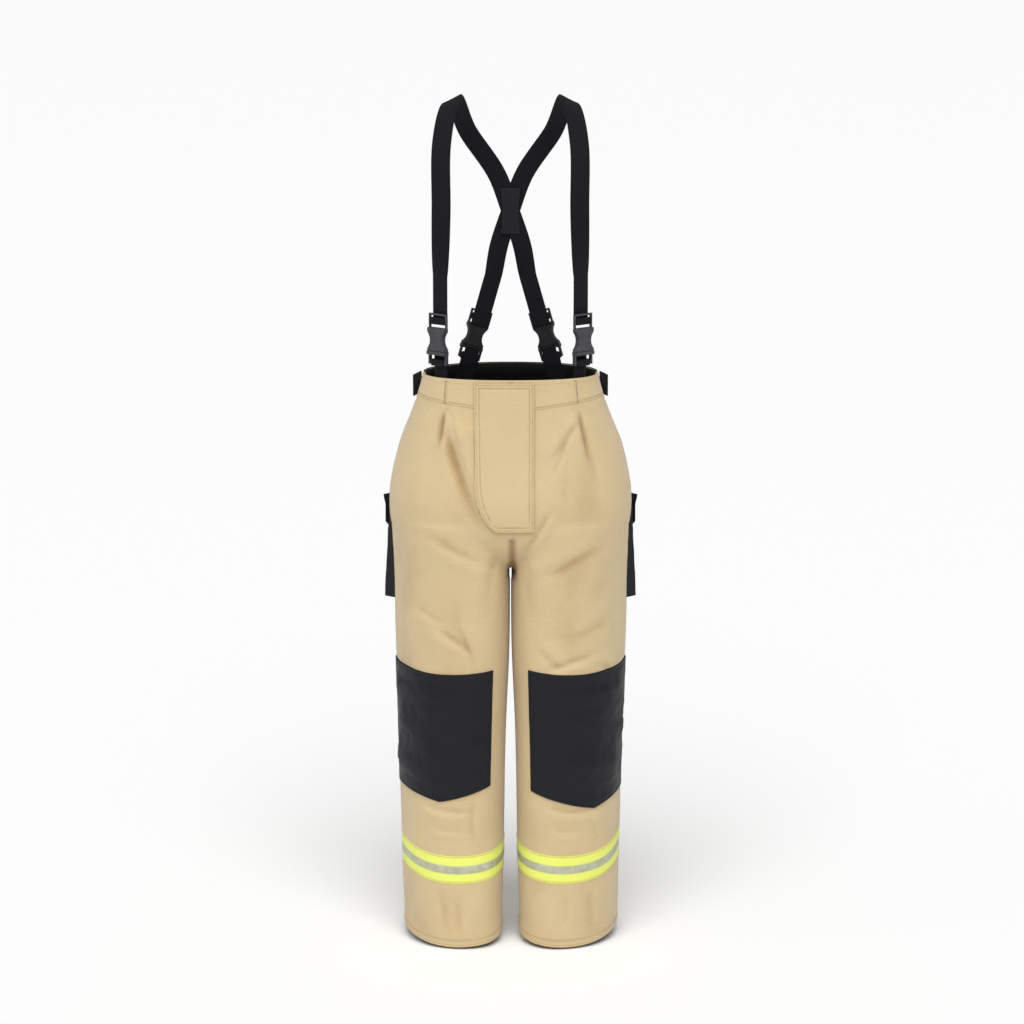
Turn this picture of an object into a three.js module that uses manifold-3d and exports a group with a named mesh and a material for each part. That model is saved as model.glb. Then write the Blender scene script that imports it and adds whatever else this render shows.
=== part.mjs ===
// Firefighter's bunker pants with crossed suspenders.
// Millimetres, +Z up, front towards -Y, origin at the centre of the waist opening.
// "left" and "right" in a name are the wearer's: the wearer's left is +X.

import * as THREE from 'three';
import { mergeVertices } from 'three/addons/utils/BufferGeometryUtils.js';
import Module from 'manifold-3d';

const wasm = await Module();
wasm.setup();

// ---------------------------------------------------------------- driving dimensions

const CLEARANCE = 0.3;            // gap kept between two layers or pieces that touch

// Trunk: heights are measured down from the waist opening
const WAIST_HALF_WIDTH = 150;
const WAIST_FRONT = 92;
const WAIST_BACK = 115;
const BAND_HEIGHT = 46;
const BAND_HALF_WIDTH = 162;
const UPPER_HIP_DROP = 132;
const UPPER_HIP_HALF_WIDTH = 193.5;
const HIP_DROP = 237;
const HIP_HALF_WIDTH = 207.5;
const HIP_FRONT = 126;
const HIP_BACK = 144;
const CROTCH_DROP = 336;
const CROTCH_HALF_WIDTH = 150;
const CROTCH_FRONT = 42;
const CROTCH_BACK = 54;

// Legs: reach of the outer and the inner side from the middle plane, and depth to front and back
const LEG_TOP_DROP = 250;
const THIGH_DROP = 470;
const KNEE_DROP = 620;
const CALF_DROP = 842;
const HEM_DROP = 1000;
const LEG_TOP = { outer: HIP_HALF_WIDTH - 2.5, inner: 0.8, front: 117, back: 127 };
const LEG_CROTCH = { outer: HIP_HALF_WIDTH - 6, inner: 0.8, front: 114, back: 122 };
const LEG_THIGH = { outer: 199.5, inner: 1.6, front: 109, back: 115 };
const LEG_KNEE = { outer: 194.5, inner: 7.8, front: 105, back: 106 };
const LEG_CALF = { outer: 191.5, inner: 12, front: 100, back: 102 };
const LEG_HEM = { outer: 188, inner: 15, front: 98, back: 101 };
const TOE_OUT = 0.2;              // how far a leg's outer side lies back, per unit of width
const ROUNDNESS = 2.3;            // exponent of the oval sections: 2 is an ellipse

// Cloth layers
const SHELL = 3;
const BAND_LINING = 2;
const LINER = 4;
const LINER_HEM_GAP = 26;         // the liner stops this far above the hem
const HEM_HEIGHT = 16;
const HEM_THICKNESS = 4;

// Fly
const ZIP_TAPE_WIDTH = 28;
const ZIP_TAPE = 1;
const ZIP_TOP_DROP = 14;
const ZIP_LENGTH = 205;
const ZIP_TRAVEL = 150;
const SLIDER_WIDTH = 11;
const SLIDER_LENGTH = 12;
const SLIDER_HEIGHT = 3.2;
const PULL_LENGTH = 32;
const PULL_WIDTH = 8;
const PULL_THICKNESS = 1.6;
const PLACKET_INNER_X = -20;
const PLACKET_OUTER_X = -56;
const PLACKET = 3.4;
const HOOK_STRIP = 1.6;
const FLAP_FREE_X = -61;
const FLAP_SEWN_X = 40;
const FLAP_TOP_DROP = 4;
const FLAP_LENGTH = 250;
const FLAP_CORNER_WIDTH = 45;     // the flap's free edge curves in over this width
const FLAP_CORNER_HEIGHT = 100;
const FLAP = 2.5;
const FLAP_RETURN = 3;            // width of the sewn edge that is turned in to the trousers

// Knee
const KNEE_PATCH_TOP_DROP = 502;
const KNEE_PATCH_BOTTOM_DROP = 742;
const KNEE_PATCH_INNER_X = 43;
const KNEE_PATCH_TOP_SAG = 4;     // how far the patch's top edge sags in the middle
const KNEE_PATCH_SAG = 12;        // the same for its bottom edge
const KNEE_PATCH = 4.8;
const KNEE_PAD = 2.8;
const KNEE_PAD_MARGIN = 26;

// Hi-vis trim
const TRIM_DROP = 859;            // middle of the trim
const TRIM_HEIGHT = 50;
const TRIM = 1.2;
const STRIPE_HEIGHT = 17;
const STRIPE = 0.8;

// Cargo pocket
const POCKET_TOP_DROP = 232;
const POCKET_HEIGHT = 168;
const POCKET_WIDTH = 96;
const POCKET_AIM = 40;            // degrees that the pocket faces to the back of sideways
const POCKET_DEPTH_TOP = 8;
const POCKET_DEPTH_BOTTOM = 14;
const POCKET_WALL = 2.2;
const POCKET_FLAP_LENGTH = 62;
const POCKET_FLAP_RISE = 6;       // the flap's seam is this far above the pocket's mouth
const POCKET_FLAP_OVERHANG = 3;

// Take-up strap and its pull tab
const TAKEUP_HEIGHT = 38;
const TAKEUP_DROP = 4;
const TAKEUP = 2.2;
const TAKEUP_FRONT_Y = 50;
const TAKEUP_BACK_Y = 100;
const TAB_LENGTH = 46;
const TAB_TURN = 16;              // degrees that the pull tab turns off straight ahead

// Suspenders
const WEBBING_WIDTH = 32;
const WEBBING = 2;
const FRONT_STRAP_X = 119;
const REAR_STRAP_X = 74;
const REAR_LEAN = 17;             // degrees that a rear strap leans to the middle
const FRONT_TAB_WIDTH = 28;
const REAR_TAB_WIDTH = 38;
const TAB_DEPTH = 40;             // how far a webbing tab runs down inside the waist
const CHEST = { x: 116, y: -94, z: 290 };
const SHOULDER = { x: 98, y: -4, z: 468 };
const BLADE = { x: 72, y: 84, z: 404 };
const CROSSING = { y: 112, z: 266 };
const SHOULDER_SLOPE = 28;        // degrees that the strap falls outward on the shoulder
const CROSS_PATCH_WIDTH = 34;
const CROSS_PATCH_HEIGHT = 80;
const CROSS_PATCH_WAIST = 27;
const CROSS_PATCH = 1.6;

// Side-release buckle, in its own frame: x across, y towards the wearer, z up the webbing
const BUCKLE_WIDTH = 40;
const SOCKET_FRONT = -8;
const SOCKET_BACK = 4;
const SOCKET_BODY = 40;           // height of the closed body
const SOCKET_FRAME = 24;          // height of the webbing frame above the body
const SOCKET_WALL = 1.8;
const FRAME_RAIL = 3.2;
const FRAME_HALF_THICKNESS = 3;
const BAR_HEIGHT = 7;
const BAR_THICKNESS = 3.4;
const PLUG_BASE = 6;
const PLUG_FRAME = 17;
const PRONG_REACH = 33;
const PRONG_WIDTH = 4;
const PRONG_THICKNESS = 6;
const BARB_HEIGHT = 9;
const BARB_CATCH = 1.2;           // how far a barb stands out into its window
const PRONG_X = 11.6;             // middle of a prong from the buckle's middle
const WINDOW_HEIGHT = 20;
const TONGUE_WIDTH = 4;
const FRONT_LIFT = 40;            // the plug's shoulder above the waist opening
const REAR_LIFT = 26;

const SEGMENTS_TRUNK = 28;
const SEGMENTS_LEG = 24;
const STRAP_STEPS = 44;

const RADIANS = Math.PI / 180;
const FAR = 700;                  // larger than any piece, for cutting boxes

// ---------------------------------------------------------------- solids

function toSolid(geometry) {
  const plain = geometry.clone();
  plain.deleteAttribute('normal');
  plain.deleteAttribute('uv');
  const merged = mergeVertices(plain, 1e-4);
  return new wasm.Manifold(new wasm.Mesh({
    numProp: 3,
    vertProperties: new Float32Array(merged.attributes.position.array),
    triVerts: new Uint32Array(merged.index.array),
  }));
}

function toGeometry(solid) {
  const mesh = solid.getMesh();
  const geometry = new THREE.BufferGeometry();
  geometry.setAttribute('position', new THREE.BufferAttribute(mesh.vertProperties, 3));
  geometry.setIndex(new THREE.BufferAttribute(mesh.triVerts, 1));
  geometry.computeVertexNormals();
  return geometry;
}

function block(x0, x1, y0, y1, z0, z1) {
  const box = new THREE.BoxGeometry(x1 - x0, y1 - y0, z1 - z0);
  box.translate((x0 + x1) / 2, (y0 + y1) / 2, (z0 + z1) / 2);
  return toSolid(box);
}

// A closed skin through rings of points that all have the same count
function loft(rings) {
  const count = rings[0].length;
  const points = rings.flat();
  const first = new THREE.Vector3();
  const last = new THREE.Vector3();
  rings[0].forEach((p) => first.addScaledVector(p, 1 / count));
  rings[rings.length - 1].forEach((p) => last.addScaledVector(p, 1 / count));
  const firstIndex = points.push(first) - 1;
  const lastIndex = points.push(last) - 1;
  const index = [];
  for (let i = 0; i < count; i++) {
    const j = (i + 1) % count;
    for (let r = 0; r + 1 < rings.length; r++) {
      const a = r * count;
      const b = a + count;
      index.push(a + i, a + j, b + j, a + i, b + j, b + i);
    }
    const end = (rings.length - 1) * count;
    index.push(firstIndex, j, i, lastIndex, end + i, end + j);
  }
  const geometry = new THREE.BufferGeometry().setFromPoints(points);
  geometry.setIndex(signedVolume(points, index) < 0 ? index.reverse() : index);
  return toSolid(geometry);
}

function signedVolume(points, index) {
  let sum = 0;
  for (let i = 0; i < index.length; i += 3) {
    const [a, b, c] = [points[index[i]], points[index[i + 1]], points[index[i + 2]]];
    sum += a.dot(b.clone().cross(c));
  }
  return sum;
}

// A flat outline drawn in x and z, made thick from y0 to y1
function plate(shape, y0, y1, curveSegments = 8) {
  const geometry = new THREE.ExtrudeGeometry(shape, {
    depth: y1 - y0, bevelEnabled: false, curveSegments,
  });
  geometry.rotateX(Math.PI / 2);
  geometry.translate(0, y1, 0);
  return toSolid(geometry);
}

function outline(corners) {
  return new THREE.Shape(corners.map(([x, z]) => new THREE.Vector2(x, z)));
}

function mirrored(solid, side) {
  return side > 0 ? solid : solid.mirror([1, 0, 0]);
}

// ---------------------------------------------------------------- the trousers' form

// Smooth curve through [drop, value] stations, flat before the first and after the last
function smooth(stations) {
  const slope = stations.map((s, i) => {
    if (i === 0 || i === stations.length - 1) return 0;
    const [before, after] = [stations[i - 1], stations[i + 1]];
    return (after[1] - before[1]) / (after[0] - before[0]);
  });
  slope[0] = (stations[1][1] - stations[0][1]) / (stations[1][0] - stations[0][0]);
  return (drop) => {
    if (drop <= stations[0][0]) return stations[0][1];
    const i = stations.findIndex((s) => s[0] >= drop);
    if (i < 0) return stations[stations.length - 1][1];
    const [d0, v0] = stations[i - 1];
    const [d1, v1] = stations[i];
    const span = d1 - d0;
    const t = (drop - d0) / span;
    const [t2, t3] = [t * t, t * t * t];
    return v0 * (2 * t3 - 3 * t2 + 1) + v1 * (3 * t2 - 2 * t3)
      + slope[i - 1] * span * (t3 - 2 * t2 + t) + slope[i] * span * (t3 - t2);
  };
}

function straight(stations) {
  return (drop) => {
    if (drop <= stations[0][0]) return stations[0][1];
    const i = stations.findIndex((s) => s[0] >= drop);
    if (i < 0) return stations[stations.length - 1][1];
    const [d0, v0] = stations[i - 1];
    const [d1, v1] = stations[i];
    return v0 + (v1 - v0) * (drop - d0) / (d1 - d0);
  };
}

const SEAT_DROP = HIP_DROP + 0.3 * (CROTCH_DROP - HIP_DROP);
const RISE_DROP = HIP_DROP + 0.68 * (CROTCH_DROP - HIP_DROP);

const trunkWidth = smooth([
  [0, WAIST_HALF_WIDTH], [BAND_HEIGHT, BAND_HALF_WIDTH],
  [UPPER_HIP_DROP, UPPER_HIP_HALF_WIDTH], [HIP_DROP, HIP_HALF_WIDTH],
  [RISE_DROP, HIP_HALF_WIDTH - 18], [CROTCH_DROP, CROTCH_HALF_WIDTH],
]);
// The front rise is straight down to the hip, so that the zip runs straight
const trunkFront = straight([
  [0, WAIST_FRONT], [HIP_DROP, HIP_FRONT], [SEAT_DROP, HIP_FRONT - 4],
  [RISE_DROP, (HIP_FRONT * 2 + CROTCH_FRONT) / 3], [CROTCH_DROP, CROTCH_FRONT],
]);
const trunkBack = straight([
  [0, WAIST_BACK], [UPPER_HIP_DROP, (WAIST_BACK + HIP_BACK * 3) / 4], [HIP_DROP, HIP_BACK],
  [SEAT_DROP, HIP_BACK - 3], [RISE_DROP, (HIP_BACK * 2 + CROTCH_BACK) / 3],
  [CROTCH_DROP, CROTCH_BACK],
]);

const TRUNK_ROWS = [
  -FAR / 10, 0, BAND_HEIGHT, (BAND_HEIGHT + UPPER_HIP_DROP) / 2, UPPER_HIP_DROP,
  (UPPER_HIP_DROP + HIP_DROP) / 2, HIP_DROP, SEAT_DROP, RISE_DROP, CROTCH_DROP,
];

const LEG_STATIONS = [
  [LEG_TOP_DROP, LEG_TOP], [CROTCH_DROP, LEG_CROTCH], [THIGH_DROP, LEG_THIGH],
  [KNEE_DROP, LEG_KNEE], [CALF_DROP, LEG_CALF], [HEM_DROP, LEG_HEM],
];
const legReach = Object.fromEntries(['outer', 'inner', 'front', 'back'].map((key) => (
  [key, smooth(LEG_STATIONS.map(([drop, station]) => [drop, station[key]]))]
)));
const LEG_ROWS = [
  LEG_TOP_DROP, CROTCH_DROP, (CROTCH_DROP + THIGH_DROP) / 2, THIGH_DROP,
  (THIGH_DROP + KNEE_DROP) / 2, KNEE_DROP, (KNEE_DROP + CALF_DROP) / 2, CALF_DROP, HEM_DROP,
];

function power(value) {
  return Math.sign(value) * Math.abs(value) ** (2 / ROUNDNESS);
}

function trunkPoint(angle, drop, offset) {
  const depth = (Math.sin(angle) < 0 ? trunkFront(drop) : trunkBack(drop)) + offset;
  return new THREE.Vector3(
    (trunkWidth(drop) + offset) * power(Math.cos(angle)),
    depth * power(Math.sin(angle)),
    -drop,
  );
}

// A point on the wearer's left leg
function legPoint(angle, drop, offset) {
  const half = (legReach.outer(drop) - legReach.inner(drop)) / 2;
  const middle = (legReach.outer(drop) + legReach.inner(drop)) / 2;
  const depth = Math.sin(angle) < 0 ? legReach.front(drop) : legReach.back(drop);
  const across = (half + offset) * power(Math.cos(angle));
  return new THREE.Vector3(
    middle + across,
    (depth + offset) * power(Math.sin(angle)) + TOE_OUT * across,
    -drop,
  );
}

function ring(point, segments, drop, offset) {
  return Array.from({ length: segments }, (_, i) => (
    point(2 * Math.PI * (i + 0.5) / segments, drop, offset)
  ));
}

// The trunk's volume, its wall moved out by offset; inward, the floor rises as well
function trunk(offset) {
  const rings = TRUNK_ROWS.map((drop) => ring(trunkPoint, SEGMENTS_TRUNK, drop, offset));
  const floor = -Math.min(offset, 0);
  rings[rings.length - 1].forEach((p) => { p.z += floor; });
  const left = loft(rings).intersect(block(0, FAR, -FAR, FAR, -FAR, FAR));
  return left.add(left.mirror([1, 0, 0]));
}

function leg(offset) {
  const rows = LEG_ROWS.map((drop) => ring(legPoint, SEGMENTS_LEG, drop, offset));
  const below = ring(legPoint, SEGMENTS_LEG, HEM_DROP, offset);
  below.forEach((p) => { p.z -= FAR / 10; });
  return loft([...rows, below]);
}

const made = new Map();
function remembered(kind, make, offset) {
  const key = `${kind}${offset}`;
  if (!made.has(key)) made.set(key, make(offset));
  return made.get(key);
}
const trunkAt = (offset) => remembered('trunk', trunk, offset);
const legAt = (offset) => remembered('leg', leg, offset);
const halfAt = (offset) => remembered('half', (o) => trunkAt(o).add(legAt(o)), offset);

function slab(dropTop, dropBottom) {
  return block(-FAR, FAR, -FAR, FAR, -dropBottom, -dropTop);
}

// Everything in front of (side -1) or behind (side 1) the plane of the two leg seams
function beyondSeam(side, gap) {
  const middle = (legReach.outer(KNEE_DROP) + legReach.inner(KNEE_DROP)) / 2;
  const near = side * gap / 2;
  const half = side < 0
    ? block(-2 * FAR, 2 * FAR, -FAR, near, -2 * FAR, FAR)
    : block(-2 * FAR, 2 * FAR, near, FAR, -2 * FAR, FAR);
  return half.rotate([0, 0, Math.atan(TOE_OUT) / RADIANS]).translate([middle, 0, 0]);
}

const leftOfMiddle = block(CLEARANCE / 2, FAR, -FAR, FAR, -2 * FAR, FAR);

// A cloth layer lying between two offsets of the leg's or trunk's surface
function layer(volumeAt, from, to) {
  return volumeAt(to).subtract(volumeAt(from));
}

// ---------------------------------------------------------------- shell, band, linings

function panel(facing) {
  return layer(halfAt, -SHELL, 0)
    .intersect(leftOfMiddle)
    .intersect(slab(BAND_HEIGHT + CLEARANCE, HEM_DROP - HEM_HEIGHT - CLEARANCE))
    .intersect(beyondSeam(facing, CLEARANCE));
}

function waistbandRing() {
  return layer(trunkAt, -SHELL, 0).intersect(slab(0, BAND_HEIGHT));
}

function waistbandFront() {
  return waistbandRing().intersect(leftOfMiddle)
    .intersect(block(-FAR, FAR, -FAR, -CLEARANCE / 2, -FAR, FAR));
}

function waistbandBack() {
  return waistbandRing().intersect(block(-FAR, FAR, CLEARANCE / 2, FAR, -FAR, FAR));
}

const LINING_OUT = -SHELL - CLEARANCE;
const LINING_IN = LINING_OUT - BAND_LINING;
const LINING_DROP = BAND_HEIGHT + 12;

function waistLining() {
  return layer(trunkAt, LINING_IN, LINING_OUT).intersect(slab(1, LINING_DROP));
}

function thermalLiner() {
  const inner = LINING_OUT - LINER;
  const outerSkin = trunkAt(LINING_OUT).add(legAt(LINING_OUT))
    .add(legAt(LINING_OUT).mirror([1, 0, 0]));
  const innerSkin = trunkAt(inner).add(legAt(inner)).add(legAt(inner).mirror([1, 0, 0]));
  return outerSkin.subtract(innerSkin)
    .intersect(slab(LINING_DROP + CLEARANCE, HEM_DROP - LINER_HEM_GAP));
}

function hem() {
  return layer(legAt, -HEM_THICKNESS, 0).intersect(slab(HEM_DROP - HEM_HEIGHT, HEM_DROP));
}

// ---------------------------------------------------------------- fly

const ZIP_OUT = CLEARANCE + ZIP_TAPE;
const PLACKET_OUT = CLEARANCE + PLACKET;
const HOOK_IN = PLACKET_OUT + CLEARANCE;
const HOOK_OUT = HOOK_IN + HOOK_STRIP;
const FLAP_IN = HOOK_OUT + CLEARANCE;
const FLAP_OUT = FLAP_IN + FLAP;
const frontHalf = block(-FAR, FAR, -FAR, 0, -2 * FAR, FAR);
const riseLean = Math.atan((HIP_FRONT - WAIST_FRONT) / HIP_DROP);

function frontStrip(x0, x1, dropTop, dropBottom, from, to) {
  return layer(trunkAt, from, to).intersect(frontHalf)
    .intersect(block(x0, x1, -FAR, 0, -dropBottom, -dropTop));
}

function zipperTape() {
  return frontStrip(-ZIP_TAPE_WIDTH / 2, ZIP_TAPE_WIDTH / 2, ZIP_TOP_DROP,
    ZIP_TOP_DROP + ZIP_LENGTH, CLEARANCE, ZIP_OUT);
}

function flyPlacket() {
  return frontStrip(PLACKET_OUTER_X, PLACKET_INNER_X, ZIP_TOP_DROP,
    ZIP_TOP_DROP + ZIP_LENGTH, CLEARANCE, PLACKET_OUT);
}

function flyHookStrip() {
  return frontStrip(PLACKET_OUTER_X + 4, PLACKET_INNER_X - 4, ZIP_TOP_DROP + 6,
    ZIP_TOP_DROP + ZIP_LENGTH - 18, HOOK_IN, HOOK_OUT);
}

function flyFlapOutline() {
  const shape = new THREE.Shape();
  const bottom = -FLAP_TOP_DROP - FLAP_LENGTH;
  shape.moveTo(FLAP_SEWN_X, -FLAP_TOP_DROP);
  shape.lineTo(FLAP_FREE_X, -FLAP_TOP_DROP);
  shape.lineTo(FLAP_FREE_X, bottom + FLAP_CORNER_HEIGHT);
  shape.absellipse(FLAP_FREE_X + FLAP_CORNER_WIDTH, bottom + FLAP_CORNER_HEIGHT,
    FLAP_CORNER_WIDTH, FLAP_CORNER_HEIGHT, Math.PI, 1.5 * Math.PI, false);
  shape.lineTo(FLAP_SEWN_X, bottom);
  return shape;
}

function flyFlap() {
  const cover = layer(trunkAt, FLAP_IN, FLAP_OUT);
  const turnedIn = layer(trunkAt, CLEARANCE, FLAP_OUT)
    .intersect(block(FLAP_SEWN_X - FLAP_RETURN, FLAP_SEWN_X, -FAR, 0, -FAR, FAR));
  return cover.add(turnedIn).intersect(plate(flyFlapOutline(), -FAR, 0));
}

// Zip slider and pull are drawn on a level track, then leaned to the front rise
function onRise(solid, drop) {
  return solid.rotate([-riseLean / RADIANS, 0, 0])
    .translate([0, -trunkFront(drop), -drop]);
}

function zipperSlider() {
  const low = ZIP_OUT + CLEARANCE;
  const body = block(-SLIDER_WIDTH / 2, SLIDER_WIDTH / 2, -low - SLIDER_HEIGHT, -low,
    -SLIDER_LENGTH, 0);
  const groove = block(-SLIDER_WIDTH / 4, SLIDER_WIDTH / 4, -low - SLIDER_HEIGHT - 1,
    -low - SLIDER_HEIGHT / 2, -SLIDER_LENGTH + 3, -3);
  return onRise(body.subtract(groove), ZIP_TOP_DROP + 1);
}

function zipperPull() {
  const top = -SLIDER_LENGTH - CLEARANCE;
  const low = ZIP_OUT + CLEARANCE;
  const shape = outline([
    [-PULL_WIDTH / 4, top], [PULL_WIDTH / 4, top], [PULL_WIDTH / 2, top - PULL_LENGTH * 0.4],
    [PULL_WIDTH / 2, top - PULL_LENGTH], [-PULL_WIDTH / 2, top - PULL_LENGTH],
    [-PULL_WIDTH / 2, top - PULL_LENGTH * 0.4],
  ]);
  const hole = new THREE.CylinderGeometry(PULL_WIDTH / 4, PULL_WIDTH / 4, 4 * PULL_THICKNESS, 12);
  hole.translate(0, -low, top - PULL_LENGTH * 0.78);
  const tongue = plate(shape, -low - PULL_THICKNESS, -low).subtract(toSolid(hole));
  return onRise(tongue, ZIP_TOP_DROP + 1);
}

// ---------------------------------------------------------------- knees and trim

function kneeOutline(margin) {
  const inner = KNEE_PATCH_INNER_X + margin;
  const outer = legReach.outer(KNEE_DROP) + KNEE_PATCH + CLEARANCE - margin;
  const top = -KNEE_PATCH_TOP_DROP - margin;
  const bottom = -KNEE_PATCH_BOTTOM_DROP + margin;
  const middle = (inner + outer) / 2;
  const shape = new THREE.Shape();
  shape.moveTo(inner, top);
  shape.lineTo(inner, bottom + KNEE_PATCH_SAG);
  shape.quadraticCurveTo(middle, bottom - KNEE_PATCH_SAG, outer, bottom + KNEE_PATCH_SAG);
  shape.lineTo(outer, top);
  shape.quadraticCurveTo(middle, top - 2 * KNEE_PATCH_TOP_SAG, inner, top);
  return shape;
}

function kneePad() {
  return layer(legAt, 2 * CLEARANCE, 2 * CLEARANCE + KNEE_PAD)
    .intersect(beyondSeam(-1, 2 * KNEE_PAD_MARGIN))
    .intersect(plate(kneeOutline(KNEE_PAD_MARGIN), -FAR, FAR));
}

function kneePatch() {
  const recess = legAt(3 * CLEARANCE + KNEE_PAD)
    .intersect(beyondSeam(-1, 2 * KNEE_PAD_MARGIN - 2 * CLEARANCE))
    .intersect(plate(kneeOutline(KNEE_PAD_MARGIN - CLEARANCE), -FAR, FAR));
  return layer(legAt, CLEARANCE, CLEARANCE + KNEE_PATCH)
    .intersect(beyondSeam(-1, CLEARANCE))
    .intersect(plate(kneeOutline(0), -FAR, FAR))
    .subtract(recess);
}

function hiVisTape() {
  return layer(legAt, CLEARANCE, CLEARANCE + TRIM)
    .intersect(slab(TRIM_DROP - TRIM_HEIGHT / 2, TRIM_DROP + TRIM_HEIGHT / 2));
}

function reflectiveStripe() {
  return layer(legAt, 2 * CLEARANCE + TRIM, 2 * CLEARANCE + TRIM + STRIPE)
    .intersect(slab(TRIM_DROP - STRIPE_HEIGHT / 2, TRIM_DROP + STRIPE_HEIGHT / 2));
}

// ---------------------------------------------------------------- cargo pocket

// The pocket's own frame: x along its face, y outward (measured from the leg), z up
const pocketMiddle = POCKET_TOP_DROP + POCKET_HEIGHT / 2;

function legSurfaceTowards(degrees) {
  const aim = degrees * RADIANS;
  const middle = (legReach.outer(pocketMiddle) + legReach.inner(pocketMiddle)) / 2;
  let best = null;
  for (let i = 0; i < SEGMENTS_LEG * 4; i++) {
    const p = legPoint(2 * Math.PI * i / (SEGMENTS_LEG * 4), pocketMiddle, 0);
    const reach = (p.x - middle) * Math.cos(aim) + p.y * Math.sin(aim);
    if (!best || reach > best.reach) best = { reach, x: p.x, y: p.y };
  }
  return best;
}

const pocketSeat = legSurfaceTowards(POCKET_AIM);

function toPocket(solid) {
  return solid.rotate([0, 0, POCKET_AIM - 90])
    .translate([pocketSeat.x, pocketSeat.y, -POCKET_TOP_DROP]);
}

// Wedge from deep inside the leg out to the pocket's sloping face
function pocketWedge(width, top, bottom, shrink) {
  const half = width / 2;
  const side = new THREE.Shape([
    new THREE.Vector2(-FAR / 10, top), new THREE.Vector2(POCKET_DEPTH_TOP - shrink, top),
    new THREE.Vector2(POCKET_DEPTH_BOTTOM - shrink, bottom), new THREE.Vector2(-FAR / 10, bottom),
  ]);
  const geometry = new THREE.ExtrudeGeometry(side, { depth: width, bevelEnabled: false });
  // Outline's x becomes the frame's y, outline's y becomes z, and the depth runs along x
  geometry.applyMatrix4(new THREE.Matrix4().set(
    0, 0, 1, -half,
    1, 0, 0, 0,
    0, 1, 0, 0,
    0, 0, 0, 1,
  ));
  return toSolid(geometry);
}

function cargoPocket() {
  const outside = pocketWedge(POCKET_WIDTH, 0, -POCKET_HEIGHT, 0);
  const inside = pocketWedge(POCKET_WIDTH - 2 * POCKET_WALL, FAR / 10,
    -POCKET_HEIGHT + POCKET_WALL, POCKET_WALL);
  return toPocket(outside.subtract(inside)).subtract(halfAt(CLEARANCE));
}

function cargoFlap() {
  const face = POCKET_DEPTH_TOP
    + (POCKET_DEPTH_BOTTOM - POCKET_DEPTH_TOP) * POCKET_FLAP_LENGTH / POCKET_HEIGHT;
  const half = POCKET_WIDTH / 2 + POCKET_FLAP_OVERHANG;
  const low = POCKET_FLAP_RISE - POCKET_FLAP_LENGTH;
  const lid = plate(outline([
    [-half, POCKET_FLAP_RISE], [-half, low + 14], [-half + 14, low],
    [half - 14, low], [half, low + 14], [half, POCKET_FLAP_RISE],
  ]), face + CLEARANCE, face + CLEARANCE + POCKET_WALL);
  return toPocket(lid);
}

// ---------------------------------------------------------------- take-up strap

function takeupStrap() {
  return layer(trunkAt, CLEARANCE, CLEARANCE + TAKEUP)
    .intersect(slab(TAKEUP_DROP, TAKEUP_DROP + TAKEUP_HEIGHT))
    .intersect(block(0, FAR, TAKEUP_FRONT_Y, TAKEUP_BACK_Y, -FAR, FAR));
}

// How far out the trunk's side is behind the side seam, where the strap's lower edge runs
function sidePoint(y, offset) {
  const drop = TAKEUP_DROP + TAKEUP_HEIGHT;
  const across = (1 - (y / (trunkBack(drop) + offset)) ** ROUNDNESS) ** (1 / ROUNDNESS);
  return (trunkWidth(drop) + offset) * across;
}

// The tab's root lies just clear of the strap's front end, and its free end points forward
function takeupTab() {
  const rootX = sidePoint(TAKEUP_FRONT_Y - 3, CLEARANCE * 2);
  const back = TAKEUP_FRONT_Y - CLEARANCE - TAKEUP * Math.sin(TAB_TURN * RADIANS);
  const tab = block(0, TAKEUP, -TAB_LENGTH, 0, -TAKEUP_DROP - TAKEUP_HEIGHT, -TAKEUP_DROP);
  return tab.rotate([0, 0, TAB_TURN]).translate([rootX, back, 0]);
}

// ---------------------------------------------------------------- buckles

const SOCKET_MIDDLE = (SOCKET_FRONT + SOCKET_BACK) / 2;
const BODY_TOP = PLUG_BASE + CLEARANCE + SOCKET_BODY;
const SOCKET_TOP = BODY_TOP + SOCKET_FRAME;
const BAR_MIDDLE = BODY_TOP + SOCKET_FRAME * 0.46;
const HALF_BUCKLE = BUCKLE_WIDTH / 2;
const RAIL_INSIDE = HALF_BUCKLE - FRAME_RAIL;
const WEBBING_IN = SOCKET_BACK + CLEARANCE;          // the webbing runs behind the buckle
const WEBBING_OUT = WEBBING_IN + WEBBING;

function socketOutline() {
  const waist = HALF_BUCKLE - 1.6;
  const low = PLUG_BASE + CLEARANCE;
  const shape = new THREE.Shape();
  shape.moveTo(-HALF_BUCKLE, low);
  shape.lineTo(HALF_BUCKLE, low);
  shape.quadraticCurveTo(waist - 1, low + SOCKET_BODY / 2, HALF_BUCKLE, BODY_TOP - 2);
  shape.lineTo(HALF_BUCKLE - 1, BODY_TOP);
  shape.lineTo(-HALF_BUCKLE + 1, BODY_TOP);
  shape.lineTo(-HALF_BUCKLE, BODY_TOP - 2);
  shape.quadraticCurveTo(-waist + 1, low + SOCKET_BODY / 2, -HALF_BUCKLE, low);
  return shape;
}

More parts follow.
